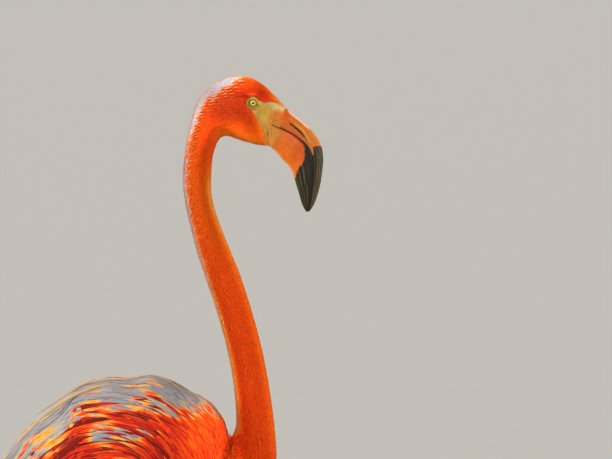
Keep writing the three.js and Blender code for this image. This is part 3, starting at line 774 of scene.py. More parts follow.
def march(starts, faces, lengths, stations, sway, grip, hold):  # walks each feather over the skin
    normal = hide.faceNormal[faces]
    lie = layAt(toBird(starts), normal, hide.faceFlow[faces])
    side = np.cross(lie, normal)
    lie = tangentPart(lie + side * sway[:, None], normal)
    point = starts.copy()
    lifted = np.zeros(len(starts))
    paths, normals, lies, lifts = [point], [normal], [lie], [lifted]
    for _ in range(stations - 1):
        target = point + lie * (lengths / (stations - 1))[:, None]
        found = [hide.tree.find_nearest(Vector(t)) for t in (target + normal * lifted[:, None]).tolist()]
        point = np.array([f[0] for f in found])
        index = np.array([f[2] for f in found])
        normal = hide.faceNormal[index]
        above = ((target + normals[-1] * lifted[:, None] - point) * normal).sum(1)
        lifted = np.clip(above, 0, 0.012) * (1 - hold)
        wish = layAt(toBird(point), normal, hide.faceFlow[index])
        lie = tangentPart(lie + grip * (wish + side * sway[:, None]), normal)
        paths.append(point)
        normals.append(normal)
        lies.append(lie)
        lifts.append(lifted)
    return (np.stack(v, 1) for v in (paths, normals, lies, lifts))


fineSection = [(-1.0, -1.0), (0.0, 0.0), (1.0, -1.0)]  # across, and how much of the camber it drops
broadSection = [(-1.0, -1.0), (-0.74, -0.52), (0.0, 0.0), (0.74, -0.52), (1.0, -1.0), (0.0, -1.0)]


def buildVanes(name, vanes, section, material, slot="plumage", stands=()):
    middle, up, lie = vanes["middle"], vanes["up"], vanes["lie"]
    count, stations, _ = middle.shape
    sides = len(section)
    right = np.cross(lie, up)
    right /= np.linalg.norm(right, axis=2)[..., None] + 1e-12
    half, camber = vanes["half"], vanes["camber"]
    rings = []
    for k, (across, fall) in enumerate(section):
        width = half[..., 0] if across < 0 else half[..., 1]
        height = fall * camber if k < 5 else -camber * 0.5 - vanes["thick"]
        if across == 0 and k < 5:
            height = height + vanes["ridge"]
        rings.append(middle + right * (across * width)[..., None] + up * height[..., None])
    rings = np.stack(rings, 2)[:, :-1]  # the last station is the tip alone
    perRing = stations - 1
    points = np.concatenate([rings.reshape(count, perRing * sides, 3), middle[:, -1:]], 1)
    each = perRing * sides + 1
    quads, tris = [], []
    for k in range(perRing - 1):
        for s in range(sides):
            t = (s + 1) % sides
            quads.append((k * sides + s, k * sides + t, (k + 1) * sides + t, (k + 1) * sides + s))
    last = (perRing - 1) * sides
    for s in range(sides):
        tris.append((last + s, last + (s + 1) % sides, each - 1))
    for s in range(1, sides - 1):
        tris.append((0, s + 1, s))
    quads, tris = np.array(quads), np.array(tris)
    base = (np.arange(count) * each)[:, None, None]
    quadLoops = (quads[None] + base).reshape(-1)
    triLoops = (tris[None] + base).reshape(-1)
    loops = np.concatenate([quadLoops, triLoops])
    starts = np.concatenate([np.arange(0, len(quadLoops), 4),
                             len(quadLoops) + np.arange(0, len(triLoops), 3)])
    mesh = bpy.data.meshes.new(name)
    mesh.vertices.add(count * each)
    mesh.vertices.foreach_set("co", points.astype(np.float32).ravel())
    mesh.loops.add(len(loops))
    mesh.loops.foreach_set("vertex_index", loops.astype(np.int32))
    mesh.polygons.add(len(starts))
    mesh.polygons.foreach_set("loop_start", starts.astype(np.int32))
    mesh.update(calc_edges=True)
    across = np.array([a for a, _ in section])
    acrossMm = (across[None, None] * half.mean(2)[:, :-1, None] * 1000).reshape(count, -1)
    alongMm = np.broadcast_to(vanes["along"][:, :-1, None], (count, perRing, sides)).reshape(count, -1)
    vane = np.zeros((count, each, 3))
    vane[:, :-1, 0], vane[:, :-1, 1], vane[:, -1, 1] = acrossMm, alongMm, vanes["along"][:, -1]
    vane[..., 2] = vanes["luck"][:, None] * 60
    setAttribute(mesh, "vane", "FLOAT_VECTOR", "vector", vane)
    warmth = np.repeat(vanes["warmth"][:, :-1, None], sides, 2)
    # edge: warmth along the vanes' outer edges, pale fringes with painted highlight where the edges catch the
    # light
    warmth += vanes["edge"][:, None, None] * (np.abs(across) > 0.9) + vanes["shaft"] * (across == 0)
    warmth = np.concatenate([warmth.reshape(count, -1), vanes["warmth"][:, -1:]], 1)
    setFloats(mesh, "warmth", warmth.ravel())
    # tone: the colour's value, lowered by painted shade on the cheek, upper neck and wing
    tone = shadeAndToneAt(toBird(middle), up)
    setFloats(mesh, "tone", np.concatenate([np.repeat(tone[:, :-1], sides, 1), tone[:, -1:]], 1).ravel())
    # each vane's patch on the unwrap, at its root's place
    patch = np.zeros((count, each, 2))
    patch[:, :-1, 0] = np.tile(across, perRing)[None] * 0.0014
    patch[:, :-1, 1] = (np.repeat(np.linspace(0, 1, stations)[:-1], sides) - 0.5)[None] * 0.003
    patch[:, -1, 1] = 0.0015
    patch += vanes["patch"][:, None]
    layer = mesh.uv_layers.new(name="OFBake")
    layer.data.foreach_set("uv", patch.reshape(-1, 2)[loops].astype(np.float32).ravel())
    triangles = count * (len(quads) * 2 + len(tris))
    print(name, count, "feathers,", triangles, "triangles")
    return addObject(name, mesh, material, slot, stands)


def profile(t, blunt, point):  # half width along a feather, 1 at the widest
    rise = smooth(-0.25, 0.38, t)
    fall = np.clip(1 - (np.clip(t - 0.45, 0, 1) / 0.55) ** blunt, 0, 1) ** point
    return rise * fall


def coatVanes(faces, roots, plan, seed):
    rng = np.random.default_rng(seed)
    count, stations = len(roots), plan["stations"]
    length = plan["length"](faces) * rng.uniform(0.85, 1.15, count)
    width = plan["width"](faces) * rng.uniform(0.88, 1.12, count)
    sway = rng.normal(0, plan["sway"], count)
    points, up, lie, lifts = march(roots, faces, length / 1000, stations, sway, plan["grip"], plan["hold"])
    t = np.linspace(0, 1, stations) ** plan["bias"]
    depth = coatDepth(toBird(points)) / 1000
    luck = rng.random(count)
    rise = plan["low"] + (plan["high"] - plan["low"]) * t[None]
    rise = rise + (luck[:, None] - 0.5) * plan["uneven"] * t[None]
    middle = points + up * (depth * rise + lifts)[..., None]
    half = profile(t, plan["blunt"], plan["point"])[None] * width[:, None] / 2000
    half = half[..., None] * (1 + rng.uniform(-plan["ragged"], plan["ragged"], (count, stations, 2)))
    bird = toBird(points)
    warmth = warmthAt(bird, up, luck[:, None]) + (luck[:, None] - 0.5) * plan["mottle"]
    warmth += plan["tipWarmth"] * (t[None] - 0.5)
    # edge: per feather, behind the shoulder: pale fringes with painted highlight on them
    return {"middle": middle, "up": up, "lie": lie, "half": half, "camber": half.mean(2) * plan["camber"],
            "ridge": half.mean(2) * plan["ridge"], "thick": half.mean(2) * 0.10 + 0.00005, "luck": luck,
            "along": t[None] * length[:, None], "warmth": np.clip(warmth, 0, 1.06),
            "edge": plan["edge"] * (0.2 + 1.6 * rng.random(count)) * smooth(10, -40, bird[:, 0, 0]),
            "shaft": plan["shaft"], "patch": hide.unwrap[hide.faces[faces, 0]]}


# Dull keratin barbs with a soft sheen at the edge. Streaks are counted per millimetre of the vane, and are
# drawn coarser than real barbs. The mottle's scale is 1000 over its size: 4 mm on short feathers, 17 on long.
def plumageMaterial(name, streak, mottle, shades, sheen):
    material, tree = newMaterial(name)
    vane = addNode(tree, "Attribute", attribute_name="vane")
    warmth = addNode(tree, "Attribute", attribute_name="warmth")
    place = addNode(tree, "TexCoord")
    stretched = addNode(tree, "Mapping", {"Scale": (streak["across"], streak["along"], 1.0)},
                        {"Vector": vane.outputs["Vector"]})
    barbs = addNode(tree, "TexNoise", {"Scale": 1.0, "Detail": 3.0, "Roughness": 0.6},
                    {"Vector": stretched.outputs["Vector"]})
    blotch = addNode(tree, "TexNoise", {"Scale": mottle["scale"], "Detail": 3.0},
                     {"Vector": place.outputs["Object"]})
    barbShare = addNode(tree, "Math", {1: 0.5}, {0: barbs.outputs["Fac"]}, operation="SUBTRACT")
    barbShare = addNode(tree, "Math", {1: streak["share"]}, {0: barbShare.outputs[0]}, operation="MULTIPLY")
    blotchShare = addNode(tree, "Math", {1: 0.5}, {0: blotch.outputs["Fac"]}, operation="SUBTRACT")
    blotchShare = addNode(tree, "Math", {1: mottle["share"]}, {0: blotchShare.outputs[0]},
                          operation="MULTIPLY")
    total = addNode(tree, "Math", {}, {0: barbShare.outputs[0], 1: blotchShare.outputs[0]}, operation="ADD")
    total = addNode(tree, "Math", {}, {0: total.outputs[0], 1: warmth.outputs["Fac"]}, operation="ADD")
    ramp = addNode(tree, "ValToRGB", links={"Fac": total.outputs[0]})
    fillRamp(ramp.color_ramp, shades)
    # tone darkens the ramp's colour: painted shade on the cheek, upper neck and wing
    tone = addNode(tree, "Attribute", attribute_name="tone")
    toned = addNode(tree, "HueSaturation", {}, {"Color": ramp.outputs["Color"], "Value": tone.outputs["Fac"]})
    bump = addNode(tree, "Bump", {"Strength": 0.35, "Distance": 0.0004}, {"Height": barbs.outputs["Fac"]})
    shade = addNode(tree, "BsdfPrincipled", {"Roughness": 0.75, "Specular IOR Level": 0.08,
                                             "Sheen Weight": sheen[0], "Sheen Roughness": 0.5,
                                             "Sheen Tint": toLinear(sheen[1])},
                    {"Base Color": toned.outputs["Color"], "Normal": bump.outputs["Normal"]})
    addNode(tree, "OutputMaterial", links={"Surface": shade.outputs["BSDF"]})
    return material


def fillRamp(ramp, stops):
    while len(ramp.elements) > 1:
        ramp.elements.remove(ramp.elements[-1])
    ramp.elements[0].position, ramp.elements[0].color = stops[0][0], toLinear(stops[0][1])
    for position, shade in stops[1:]:
        ramp.elements.new(position).color = toLinear(shade)


fineFeather = plumageMaterial("short contour feathers", {"across": 1.3, "along": 0.25, "share": 0.10},
                              {"scale": 260.0, "share": 0.14}, plumageRamp, (0.45, "#ff7a24"))
longFeather = plumageMaterial("long back and wing feathers", {"across": 0.9, "along": 0.03, "share": 0.18},
                             {"scale": 60.0, "share": 0.10}, backRamp, (0.15, "#ffb080"))

# what the parts of the coat are, by face of the skin
at = hide.faceBird
ahead, dropAt = at[:, 0], at[:, 2]
reachMm = hide.distance[hide.faces].mean(1) * 1000
isBare = bareAt(at) > 0.35
isBill = (ahead > 70) & (dropAt < 92) & (aheadOfRoot(at) > np.where(dropAt < 35, 3.2, -1.2))
isWing = onWing(at) > 0.5
isThigh = (dropAt > 566) & (np.abs(at[:, 1]) > 18)
isBody = (dropAt > 436) & ~isWing & ~isThigh
isNeck = ~(isWing | isThigh | isBody | isBare | isBill)
print("reach of the coat:", round(float(reachMm.max())), "mm")

# A plan's low and high say how far root and tip rise through the coat's depth. Grip and hold say how well a
# feather keeps to the coat's lie and to the skin. Lengths and widths are millimetres.
finePlan = {"stations": 3, "bias": 0.85, "grip": 0.7, "hold": 1.0, "low": 0.30, "high": 0.98, "uneven": 0.14,
            "blunt": 2.2, "point": 0.5, "ragged": 0.15, "mottle": 0.05, "tipWarmth": 0.05, "camber": 0.10,
            "ridge": 0.05, "edge": 0.0, "shaft": 0.0, "sway": 0.12}
spacing = np.interp(reachMm, [0, 30, 110, 300, 430, 560], [0.43, 0.52, 0.70, 0.86, 1.0, 1.5])
finePlan["radius"] = spacing
finePlan["width"] = lambda faces: spacing[faces] * 1.7
finePlan["length"] = lambda faces: spacing[faces] * 8.5

for pieceName, zone in (("plumage_head_right", isNeck & (dropAt < 92) & (at[:, 1] <= 0)),
                        ("plumage_head_left", isNeck & (dropAt < 92) & (at[:, 1] > 0)),
                        ("plumage_neck_upper", isNeck & (dropAt >= 92) & (dropAt < 232)),
                        ("plumage_neck_lower", isNeck & (dropAt >= 232))):
    faces, roots = scatter(np.where(zone, spacing, 0), len(pieceName))
    buildVanes(pieceName, coatVanes(faces, roots, finePlan, 7), fineSection, fineFeather)

bodySpacing = np.interp(reachMm, [430, 520, 620, 800], [1.0, 1.5, 2.2, 2.8])
bodyPlan = dict(finePlan, stations=4, radius=bodySpacing, mottle=0.10, camber=0.14, ragged=0.10, edge=0.03,
                low=0.25, high=0.95, width=lambda faces: bodySpacing[faces] * 1.9,
                length=lambda faces: bodySpacing[faces] * 7.5)
faces, roots = scatter(np.where(isBody, bodySpacing, 0), 31)
buildVanes("plumage_body", coatVanes(faces, roots, bodyPlan, 32), fineSection, fineFeather)

thighSpacing = np.full(len(at), 1.5)
thighPlan = dict(finePlan, stations=4, radius=thighSpacing, width=lambda faces: thighSpacing[faces] * 1.8,
                 length=lambda faces: thighSpacing[faces] * 6.5)
faces, roots = scatter(np.where(isThigh, thighSpacing, 0), 41)
buildVanes("plumage_thighs", coatVanes(faces, roots, thighPlan, 42), fineSection, fineFeather)
print("contour feathers laid")

# the wings: short coverts at the shoulder, long drooping scapulars over the back, broad coverts lower down
def roundWing(roots):  # stretched so that roots stand further apart along the lie than across it
    bird = toBird(roots)
    x, drop = bird[..., 0] + 84, 446 - bird[..., 2]
    turn = np.arctan2(drop, x)
    reach = np.hypot(x, drop)
    return np.stack([reach, turn * 80 * wingPlan["crowding"], bird[..., 1]], -1) / 1000


behindShoulder = np.maximum(34 - ahead, 0)
backLength = np.interp(behindShoulder, [0, 14, 40, 80, 130, 200, 300, 360], [7, 11, 24, 64, 110, 120, 90, 60])
backWidth = np.interp(behindShoulder, [0, 14, 40, 80, 160, 250], [1.7, 2.4, 4.0, 5.6, 7.0, 8.0])
sideLength = np.interp(behindShoulder, [0, 30, 100, 200, 300], [8, 16, 36, 60, 78])
sideWidth = np.interp(behindShoulder, [0, 30, 100, 200, 300], [1.8, 3.4, 8, 12, 14])
backSpacing, sideSpacing = backWidth * 0.52, sideWidth * 0.52
wingPlan = {"stations": 9, "bias": 1.0, "grip": 0.45, "hold": 0.88, "low": 0.1, "high": 0.36, "uneven": 0.08,
            "blunt": 1.8, "point": 0.75, "ragged": 0.08, "mottle": 0.18, "tipWarmth": 0.08, "camber": 0.08,
            "ridge": 0.04, "edge": 0.36, "shaft": -0.02, "sway": 0.06, "radius": backSpacing,
            "crowding": 0.28, "width": lambda faces: backWidth[faces],
            "length": lambda faces: backLength[faces]}
sidePlan = dict(wingPlan, stations=7, blunt=2.6, point=0.45, mottle=0.12, edge=0.12, sway=0.07,
                radius=sideSpacing, width=lambda faces: sideWidth[faces],
                length=lambda faces: sideLength[faces])
isBack = isWing & (dropAt < 462)
for sideName, sideZone in (("right", at[:, 1] <= 0), ("left", at[:, 1] > 0)):
    faces, roots = scatter(np.where(isWing & ~isBack & sideZone, sideSpacing, 0), 53)
    buildVanes("coverts_" + sideName, coatVanes(faces, roots, sidePlan, 54), broadSection, longFeather)
    faces, roots = scatter(np.where(isBack & sideZone, backSpacing, 0), 51, roundWing)
    buildVanes("scapulars_" + sideName, coatVanes(faces, roots, wingPlan, 52), broadSection, longFeather)


# feathers that stand clear of the body: each is a line of points, the way up, and a width
def freeVanes(name, lines, ups, widths, plan, material, slot, stands=(), warmth=0.2):
    stations = plan["stations"]
    count = len(lines)
    rng = np.random.default_rng(plan["seed"])
    middle = np.array([[splineAt(line, k / (stations - 1) * (len(line) - 1)) for k in range(stations)]
                       for line in lines])
    middle = np.stack([(middle[..., 0] + shift) / 1000, middle[..., 1] / 1000,
                       (crownHeight - middle[..., 2]) / 1000], -1)
    lie = np.gradient(middle, axis=1)
    lie /= np.linalg.norm(lie, axis=2)[..., None]
    up = np.broadcast_to(np.array(ups, float)[:, None], middle.shape)
    up = tangentPart(up, lie)
    t = np.linspace(0, 1, stations)
    half = profile(t, plan["blunt"], plan["point"])[None] * np.array(widths)[:, None] / 2000
    half = half[..., None] * (1 + rng.uniform(-plan["ragged"], plan["ragged"], (count, stations, 2)))
    luck = rng.random(count)
    length = np.linalg.norm(np.diff(middle, axis=1), axis=2).sum(1) * 1000
    warm = np.full((count, stations), warmth) + (luck[:, None] - 0.5) * plan["mottle"]
    warm = warm + plan["tipWarmth"] * t[None]
    root = hide.tree.find_nearest(Vector(middle[0, 0]))[2]
    vanes = {"middle": middle, "up": up, "lie": lie, "half": half, "camber": half.mean(2) * plan["camber"],
             "ridge": half.mean(2) * plan["ridge"], "thick": half.mean(2) * 0.06 + 0.0001, "luck": luck,
             "along": t[None] * length[:, None], "warmth": np.clip(warm, 0, 1),
             "edge": np.full(count, plan["edge"]), "shaft": plan["shaft"],
             "patch": np.repeat(hide.unwrap[hide.faces[root, :1]], count, 0)}
    return buildVanes(name, vanes, broadSection, material, slot, stands)


def blackFeatherMaterial():  # melanin-dark flight feathers with a faint gloss along the barbs
    # barbs 0.7 mm apart, and a change along the vane about every 17 mm
    material, tree = newMaterial("black flight feathers")
    vane = addNode(tree, "Attribute", attribute_name="vane")
    stretched = addNode(tree, "Mapping", {"Scale": (1.4, 0.06, 1.0)}, {"Vector": vane.outputs["Vector"]})
    barbs = addNode(tree, "TexNoise", {"Scale": 1.0, "Detail": 4.0}, {"Vector": stretched.outputs["Vector"]})
    ramp = addNode(tree, "ValToRGB", links={"Fac": barbs.outputs["Fac"]})
    fillRamp(ramp.color_ramp, [(0.3, "#100d0c"), (0.6, "#1d1816"), (0.8, "#33291f")])
    bump = addNode(tree, "Bump", {"Strength": 0.4, "Distance": 0.0003}, {"Height": barbs.outputs["Fac"]})
    shade = addNode(tree, "BsdfPrincipled", {"Roughness": 0.45, "Specular IOR Level": 0.45},
                    {"Base Color": ramp.outputs["Color"], "Normal": bump.outputs["Normal"]})
    addNode(tree, "OutputMaterial", links={"Surface": shade.outputs["BSDF"]})
    return material


blackFeather = blackFeatherMaterial()
flightPlan = {"stations": 14, "blunt": 2.2, "point": 0.6, "ragged": 0.04, "mottle": 0.0, "tipWarmth": 0.0,
              "camber": 0.22, "ridge": 0.10, "edge": 0.0, "shaft": 0.0, "seed": 61}
for sideName, hand in (("right", -1), ("left", 1)):
    lines, ups = [], []
    for n in range(9):
        lines.append([(-148 - 6 * n, hand * (70 - 1.5 * n), 535 + 1.4 * n),
                      (-200, hand * (59 - 1.2 * n), 538 + 2.2 * n),
                      (-250, hand * (41 - 1.0 * n), 544 + 2.2 * n),
                      (-300, hand * (25 - 0.5 * n), 551 + 1.6 * n),
                      (-338 + 4.5 * n, hand * (16 + 0.4 * n), 556 + 0.9 * n)])
        ups.append((-0.2, hand, 0.35))
    freeVanes("flight_feathers_" + sideName, lines, ups, [13.0] * 9, flightPlan, blackFeather, "flight_black",
              ("flight_" + sideName,))
tailPlan = dict(flightPlan, stations=12, seed=62, mottle=0.1, tipWarmth=0.25, edge=0.10, camber=0.16)
lines, ups = [], []
for n in range(13):
    fan = (n - 6) / 6
    lines.append([(-226, 12 * fan, 471 + 4 * abs(fan)), (-262, 19 * fan, 494 + 5 * abs(fan)),
                  (-300, 25 * fan, 524 + 5 * abs(fan)), (-334 + 9 * abs(fan), 29 * fan, 551 + 2 * abs(fan))])
    ups.append((-0.5, fan * 0.5, 1.0))
freeVanes("tail_feathers", lines, ups, [17.0] * 13, tailPlan, longFeather, "plumage", (), 0.38)
loosePlan = dict(flightPlan, stations=14, seed=63, point=0.9, mottle=0.04, tipWarmth=0.03, edge=-0.06)
lines = [[(-118, -16, 340), (-136, -20, 347), (-153, -24, 358), (-171, -27, 370), (-187, -29, 382)],
         [(-96, -34, 343), (-122, -40, 348), (-150, -45, 361), (-176, -49, 380), (-196, -52, 402)],
         [(-104, 34, 350), (-128, 40, 356), (-152, 46, 368), (-175, 51, 384), (-196, 55, 404)]]
ups = [(-0.4, -0.8, 0.8), (-0.4, -0.9, 0.6), (-0.4, 0.9, 0.6)]
freeVanes("loose_feathers", lines, ups, [4.6, 5.0, 5.5], loosePlan, longFeather, "plumage", (), 0.86)
print("wing and tail feathers laid")

# the skin, with the same markings
setFloats(skinMesh, "warmth", warmthAt(hide.bird, hide.normals))
# tone: painted shade on the cheek, upper neck and wing
setFloats(skinMesh, "tone", shadeAndToneAt(hide.bird, hide.normals))
byHorn = smooth(-2.5, -0.5, aheadOfRoot(hide.bird)) * (hide.bird[:, 2] < 92)
setFloats(skinMesh, "bare", np.maximum(bareAt(hide.bird), byHorn))
setColours(skinMesh, "faceTint", faceColours(hide.bird))


def skinMaterial():  # thin skin: waxy and finely wrinkled where bare, covered elsewhere
    # pores 1.1 mm apart, wrinkle cells 1.4 mm across
    material, tree = newMaterial("facial skin and skin under the coat")
    place = addNode(tree, "TexCoord")
    warmth = addNode(tree, "Attribute", attribute_name="warmth")
    bare = addNode(tree, "Attribute", attribute_name="bare")
    tint = addNode(tree, "Attribute", attribute_name="faceTint")
    pores = addNode(tree, "TexNoise", {"Scale": 900.0, "Detail": 4.0}, {"Vector": place.outputs["Object"]})
    cells = addNode(tree, "TexVoronoi", {"Scale": 700.0}, {"Vector": place.outputs["Object"]})
    faint = addNode(tree, "Math", {1: 0.30}, {0: pores.outputs["Fac"]}, operation="MULTIPLY")
    value = addNode(tree, "Math", {1: 0.85}, {0: faint.outputs[0]}, operation="ADD")
    lit = addNode(tree, "HueSaturation", {}, {"Color": tint.outputs["Color"], "Value": value.outputs[0]})
    ramp = addNode(tree, "ValToRGB", links={"Fac": warmth.outputs["Fac"]})
    fillRamp(ramp.color_ramp, plumageRamp)
    # tone darkens the ramp's colour: painted shade on the cheek, upper neck and wing
    tone = addNode(tree, "Attribute", attribute_name="tone")
    toned = addNode(tree, "HueSaturation", {}, {"Color": ramp.outputs["Color"], "Value": tone.outputs["Fac"]})
    mixed = addNode(tree, "MixRGB", {}, {"Fac": bare.outputs["Fac"], "Color1": toned.outputs["Color"],
                                         "Color2": lit.outputs["Color"]})
    bump = addNode(tree, "Bump", {"Strength": 0.3, "Distance": 0.0003}, {"Height": cells.outputs["Distance"]})
    shade = addNode(tree, "BsdfPrincipled", {"Roughness": 0.5, "Specular IOR Level": 0.18},
                    {"Base Color": mixed.outputs["Color"], "Normal": bump.outputs["Normal"]})
    addNode(tree, "OutputMaterial", links={"Surface": shade.outputs["BSDF"]})
    return material


addObject("skin", skinMesh, skinMaterial(), "plumage", fleshNodes)

# bill: two mandibles of horn, the lower a deep trough, the upper a lid
billPlan = {"rings": 200, "sides": 96, "gape": 0.12, "ridge": 0.20,
            "nostril": [(100.4, 53.3), (104.7, 56.3), (109.8, 60.5), (113.7, 64.2), (115.9, 67.2),
                        (118.7, 71.1), (122.1, 76.7)],
            "groove": [(126.5, 88), (129.8, 108), (127.5, 130)]}
# From root to tip: x and drop of the ridge, of the mouth and of the keel, and each mandible's half width.
billRows = [(92.4, 31.4, 83.8, 56.0, 76.2, 78.8, 14.0, 14.5),
            (102.5, 41.5, 92.6, 59.5, 82.6, 82.8, 12.6, 14.8),
            (112.3, 49.6, 102.7, 64.5, 88.2, 88.4, 11.4, 15.3),
            (122.0, 58.2, 111.4, 71.0, 93.2, 94.8, 10.8, 15.5),
            (129.9, 67.2, 118.5, 77.5, 98.5, 100.0, 10.8, 15.1),
            (135.5, 77.8, 123.2, 84.6, 102.4, 105.6, 11.2, 14.4),
            (137.9, 92.1, 125.7, 94.1, 105.1, 112.8, 11.6, 13.8),
            (136.9, 106.4, 126.3, 106.4, 107.5, 121.2, 11.2, 12.8),
            (134.4, 122.9, 125.7, 121.0, 110.9, 132.7, 9.8, 10.8),
            (129.7, 139.3, 123.8, 136.4, 114.2, 143.7, 7.4, 7.8),
            (125.0, 148.8, 122.0, 146.5, 117.2, 149.8, 4.6, 4.8),
            (121.3, 153.0, 120.5, 152.2, 119.7, 153.0, 1.6, 1.6)]
# where the lower mandible turns black: drop, then x
darkEdge = [(67.4, 107.5), (70.9, 112.0), (75.0, 115.4), (80.6, 116.9), (89.6, 117.0), (96.3, 115.8),
            (100.4, 112.7), (102.6, 110.2), (107.5, 108.6), (113.1, 106.8), (117.6, 105.0), (124.0, 90.0)]


def billPlace(upper):
    def place(u, v):
        row = splineAt(billRows, u * (len(billRows) - 1))
        mouth, far = row[2:4], (row[0:2] if upper else row[4:6])
        half = row[6] if upper else row[7]
        rootTuck = 0.94 + 0.06 * float(smooth(0, 0.08, u))
        tip = math.sqrt(max(1 - max((u - 0.975) / 0.025, 0) ** 2, 0.0004))
        if v < 0.8:
            a = math.pi * v / 0.8
            c, s = math.cos(a), math.sin(a)
            y = -half * math.copysign(abs(c) ** (0.92 if upper else 0.78), c)
            rise = max(s, 0) ** (0.86 if upper else 0.80)
        else:
            f = (v - 0.8) / 0.2
            y = half * (1 - 2 * f)
            rise = (0.08 if upper else -0.055) * math.sin(math.pi * f)
        toward = (far - mouth) / (np.linalg.norm(far - mouth) + 1e-9)
        middle = (mouth + far) / 2
        flat = mouth + toward * billPlan["gape"] + (far - mouth) * rise * rootTuck
        flat = middle + (flat - middle) * tip
        return spot(flat[0], flat[1], y * rootTuck * tip)
    return place


def nearPoint(points, mouths, fars):  # millimetres from the mouth's edge toward the far edge
    toward = (fars - mouths) / (np.linalg.norm(fars - mouths, axis=1)[:, None] + 1e-9)
    return ((points - mouths) * toward).sum(1)


